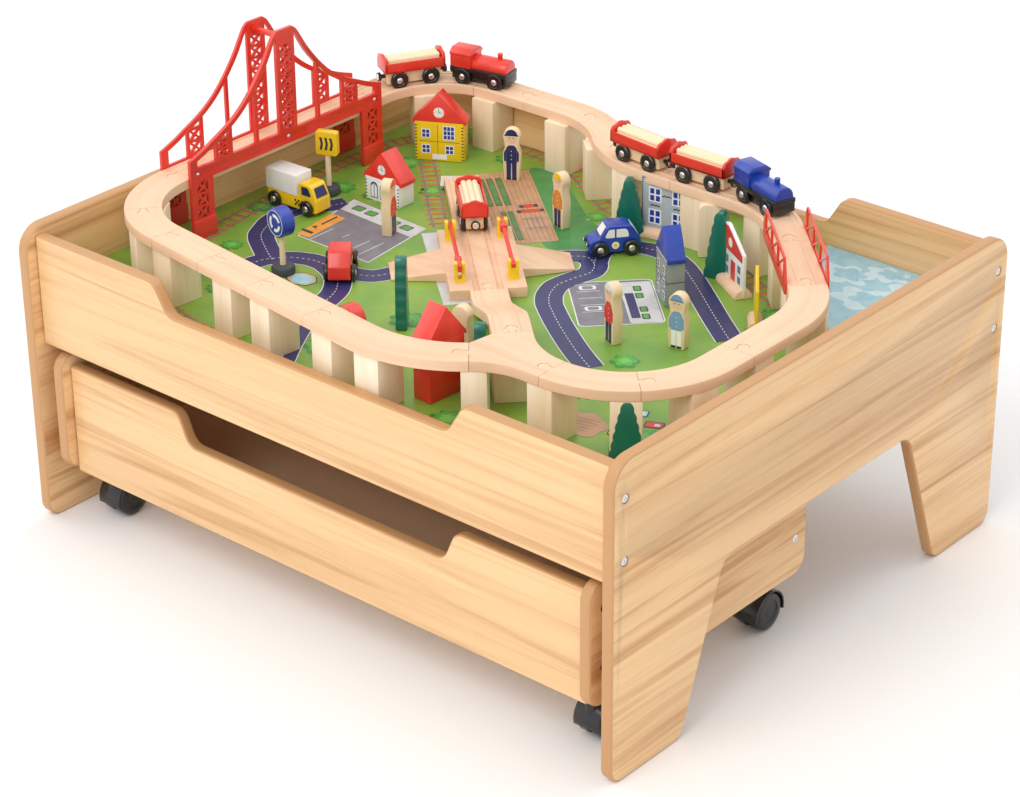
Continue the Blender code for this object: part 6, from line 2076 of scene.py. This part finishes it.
class TRAINTABLE_OT_figures(PieceOperator):
    """The flat wooden figures with plain printed clothes and faces"""

    bl_idname = "train_table.figures"
    bl_label = "Figures"

    def make(self):
        navy, blue, white, red = "navy", "cloth_blue", "white", "red"
        self.make_figure("figure_guard", (-0.1928, 0.2273), 30, 0.066, navy, navy, navy)
        self.make_figure("figure_worker", (-0.0610, 0.1600), -14, 0.068, "orange", navy, "yellow")
        self.make_figure("figure_cook", (0.2300, 0.0030), 10, 0.064, blue, white, blue)
        self.make_figure("figure_left", (-0.1998, 0.0195), 112, 0.068, red, navy, red)
        self.make_figure("figure_right", (0.1690, -0.0310), -22, 0.070, red, navy, white)
        self.make_figure("figure_back", (0.0830, -0.1730), 190, 0.070, white, blue, red)

    def make_figure(self, name, place, heading, high, coat, trousers, cap):
        """A round-headed wooden backing with clothes, face and cap printed on its front."""
        stand = facing(place, heading, PLAY_TOP)
        head = high - 0.0100
        side = [(0.0090, 0.0003), (0.0100, high * 0.30), (0.0105, high * 0.52), (0.0078, high * 0.66)]
        outline = side + arc((0, head), 0.0100, -25, 205, 18) + [(-x, z) for x, z in reversed(side)]
        backing = plate("backing", outline, "XZ", -FIGURE_DEPTH, FIGURE_DEPTH, 0.0008)
        placed(name, [backing], stand, "pine_light", "beech")
        middle = high * 0.36
        leg = ((0.0008, 0.003), (0.0058, 0.003), (0.0062, middle), (0.0004, middle))
        arm = ((0.0064, high * 0.62), (0.0092, high * 0.54), (0.0088, high * 0.38), (0.0066, high * 0.38))
        legs, arms = ([[(way * x, z) for x, z in limb] for way in (-1, 1)] for limb in (leg, arm))
        chest = mirrored([(0.0064, middle - 0.001), (0.0062, high * 0.64), (0.0030, high * 0.69)])
        face = arc((0, head - 0.0015), 0.0066, 0, 345, 23)
        hat = [(-0.0074, head + 0.0020), (0.0074, head + 0.0020)]
        hat += arc((0, head + 0.0026), 0.0070, 10, 170, 10)
        brim = rectangle(0, head + 0.0022, 0.0165, 0.0014)
        shoes = [rectangle(way * 0.0034, 0.0028, 0.0054, 0.0026) for way in (-1, 1)]
        dots = [blob((way * 0.0024, head - 0.0010), 0.0007, 4, 0.1, 0) for way in (-1, 1)]
        buttons = [blob((0, high * part), 0.0006, 4, 0.1, 0) for part in (0.42, 0.50, 0.58)]
        groups = (
            ("trousers", legs, trousers, 0.0002), ("coat", [chest] + arms, coat, 0.0003),
            ("face", [face], "skin", 0.0003), ("cap", [hat, brim], cap, 0.0004),
            ("dots", dots + shoes, "black", 0.0004), ("buttons", buttons, "white", 0.0004),
        )
        for key, shapes, finish, thick in groups:
            print_on(f"{name}_{key}", shapes, FIGURE_DEPTH, stand, finish, "beech", thick)


class TRAINTABLE_OT_signs(PieceOperator):
    """The blue and the red disc and the yellow block, on wooden poles with dark round feet"""

    bl_idname = "train_table.signs"
    bl_label = "Signs"

    def make(self):
        self.disc_sign("sign_disc", (-0.2201, -0.1323), 0.0625, "blue", "blue_paint")
        self.disc_sign("sign_red", (-0.0230, -0.2290), 0.0413, "red", "red_paint")
        stand = facing((-0.3323, 0.0587), 22, PLAY_TOP)
        self.pole("sign_block", stand, 0.055)
        outline = soft_rectangle(-0.0134, 0.0495, 0.0134, 0.0792, 0.003, 15)
        head = plate("head", outline, "XZ", -0.0050, 0.0050, 0.0010)
        placed("sign_block", [head], stand, "yellow", "yellow_paint")
        bars = []
        for index in range(3):
            x = -0.0062 + 0.0062 * index
            bar = (
                (-0.0018, 0.0565), (0.0012, 0.0565), (0.0028, 0.0643), (0.0012, 0.0720),
                (-0.0018, 0.0720), (-0.0002, 0.0643),
            )
            bars.append([(x + across, up) for across, up in bar])
        print_on("sign_block_bars", bars, 0.0050, stand, "black", "yellow_paint")

    def disc_sign(self, name, place, high, finish, slot):
        """A thick round disc on a pole, with a thin ring and three short arcs on its front."""
        stand = facing(place, -12, PLAY_TOP)
        self.pole(name, stand, high - 0.0130)
        profile = [(0, -0.0082), (0.0160, -0.0082), (0.0172, -0.0070)]
        profile += [(radius, -along) for radius, along in reversed(profile)]
        placed(name, [turned("disc", profile, 40, "Y", (0, 0, high))], stand, finish, slot)
        ring = [self.band((0, high), 0.0145, 0.0151, angle) for angle in (0, 90, 180, 270)]
        ring += [self.band((0, high), 0.0068, 0.0104, angle) for angle in (20, 140, 260)]
        print_on(name + "_rings", ring, 0.0082, stand, "white", slot)

    def band(self, centre, inner, outer, start):
        """A quarter of a ring."""
        return arc(centre, outer, start, start + 92, 12) + arc(centre, inner, start + 92, start, 12)

    def pole(self, name, stand, high):
        foot = [(0, 0.0003), (0.0125, 0.0003), (0.0135, 0.0013), (0.0135, 0.0070)]
        foot += [(0.0118, 0.0095), (0.0070, 0.0105), (0, 0.0105)]
        placed(name + "_foot", [turned("foot", foot, 32)], stand, "grey_dark", "grey_paint")
        placed(name + "_pole", [turned("pole", rod(0.0033, 0.008, high), 16)], stand, "pine_light", "beech")


# Stage


class TRAINTABLE_OT_stage(PieceOperator):
    """The pale floor, the soft lamps and the photograph's camera"""

    bl_idname = "train_table.stage"
    bl_label = "Floor, lamps and camera"

    def make(self):
        stage = look("stage")
        bpy.ops.object.select_all(action="DESELECT")
        bpy.ops.mesh.primitive_plane_add(size=16)
        floor = bpy.context.object
        floor.name = "floor"
        ground = Finish("floor", stage.floor, 0.9)
        floor.data.materials.append(ground.material)
        self.make_world(stage)
        self.add_lamp("key_lamp", (0.3, -2.7, 2.9), 2.2, stage.key * 2)
        self.add_lamp("fill_lamp", (-2.4, -0.8, 2.2), 2.4, stage.fill * 2)
        self.add_lamp("top_lamp", (0.3, 1.2, 2.8), 2.6, stage.fill * 2)
        self.add_camera()

    def make_world(self, stage):
        """Soft light from all round, and white where the camera or a reflection sees the sky."""
        world = bpy.data.worlds.new("sky")
        bpy.context.scene.world = world
        world.use_nodes = True
        tree = world.node_tree
        shown = tree.nodes["Background"]
        paths = tree.nodes.new("ShaderNodeLightPath")
        seen = paths.outputs["Is Camera Ray"]
        for kind in ("Is Glossy Ray", "Is Transmission Ray"):
            either = tree.nodes.new("ShaderNodeMath")
            either.operation = "MAXIMUM"
            tree.links.new(seen, either.inputs[0])
            tree.links.new(paths.outputs[kind], either.inputs[1])
            seen = either.outputs[0]
        strength = tree.nodes.new("ShaderNodeMapRange")
        tree.links.new(seen, strength.inputs["Value"])
        strength.inputs["To Min"].default_value = stage.sky
        strength.inputs["To Max"].default_value = 1.0
        shown.inputs["Color"].default_value = (1, 1, 1, 1)
        tree.links.new(strength.outputs[0], shown.inputs["Strength"])

    def add_lamp(self, name, place, size, power):
        light = bpy.data.lights.new(name, "AREA")
        light.energy = power
        light.size = size
        lamp = bpy.data.objects.new(name, light)
        bpy.context.scene.collection.objects.link(lamp)
        lamp.location = place
        aim = Vector((0, 0, 0.25)) - Vector(place)
        lamp.rotation_euler = aim.to_track_quat("-Z", "Y").to_euler()

    def add_camera(self):
        azimuth, elevation = math.radians(CAMERA_AZIMUTH), math.radians(CAMERA_ELEVATION)
        roll = math.radians(CAMERA_ROLL)
        level = math.cos(elevation)
        back = Vector((math.sin(azimuth) * level, -math.cos(azimuth) * level, math.sin(elevation)))
        right = Vector((math.cos(azimuth), math.sin(azimuth), 0))
        up = back.cross(right)
        turned_right = right * math.cos(roll) + up * math.sin(roll)
        turned_up = up * math.cos(roll) - right * math.sin(roll)
        camera = bpy.data.cameras.new("camera")
        camera.sensor_width = SENSOR_WIDE
        camera.lens = FOCAL_PIXELS / IMAGE_WIDE * SENSOR_WIDE
        camera.clip_end = 50
        obj = bpy.data.objects.new("camera", camera)
        bpy.context.scene.collection.objects.link(obj)
        turn = Matrix((turned_right, turned_up, back)).transposed().to_4x4()
        obj.matrix_world = Matrix.Translation(CAMERA_AT) @ turn
        bpy.context.scene.camera = obj


# Panel and registration


STEPS = (
    TRAINTABLE_OT_boards,
    TRAINTABLE_OT_drawer,
    TRAINTABLE_OT_casters,
    TRAINTABLE_OT_print,
    TRAINTABLE_OT_track,
    TRAINTABLE_OT_bridge,
    TRAINTABLE_OT_crossing,
    TRAINTABLE_OT_trains,
    TRAINTABLE_OT_cars,
    TRAINTABLE_OT_houses,
    TRAINTABLE_OT_fronts,
    TRAINTABLE_OT_trees,
    TRAINTABLE_OT_figures,
    TRAINTABLE_OT_signs,
    TRAINTABLE_OT_stage,
)


class TRAINTABLE_PT_pieces(bpy.types.Panel):
    """Lists the pieces in the order they are made"""

    bl_label = "Train table"
    bl_space_type = "VIEW_3D"
    bl_region_type = "UI"
    bl_category = "Train Table"

    def draw(self, context):
        for step in STEPS:
            self.layout.operator(step.bl_idname)
        for name in ("table", "track", "paint", "stage"):
            box = self.layout.box()
            group = look(name)
            for key in group.bl_rna.properties.keys():
                if key not in ("rna_type", "name"):
                    box.prop(group, key)


LOOKS = {"table": TableLook, "track": TrackLook, "paint": PaintLook, "stage": StageLook}


def register():
    for group in LOOKS.values():
        bpy.utils.register_class(group)
    for name, group in LOOKS.items():
        setattr(bpy.types.Scene, "train_table_" + name, PointerProperty(type=group))
    for step in STEPS:
        bpy.utils.register_class(step)
    bpy.utils.register_class(TRAINTABLE_PT_pieces)


def unregister():
    bpy.utils.unregister_class(TRAINTABLE_PT_pieces)
    for step in reversed(STEPS):
        bpy.utils.unregister_class(step)
    for name, group in reversed(LOOKS.items()):
        delattr(bpy.types.Scene, "train_table_" + name)
        bpy.utils.unregister_class(group)


def main():
    register()
    bpy.context.scene.view_settings.view_transform = "Standard"
    for step in STEPS:
        family, name = step.bl_idname.split(".")
        getattr(getattr(bpy.ops, family), name)()


if __name__ == "__main__":
    main()
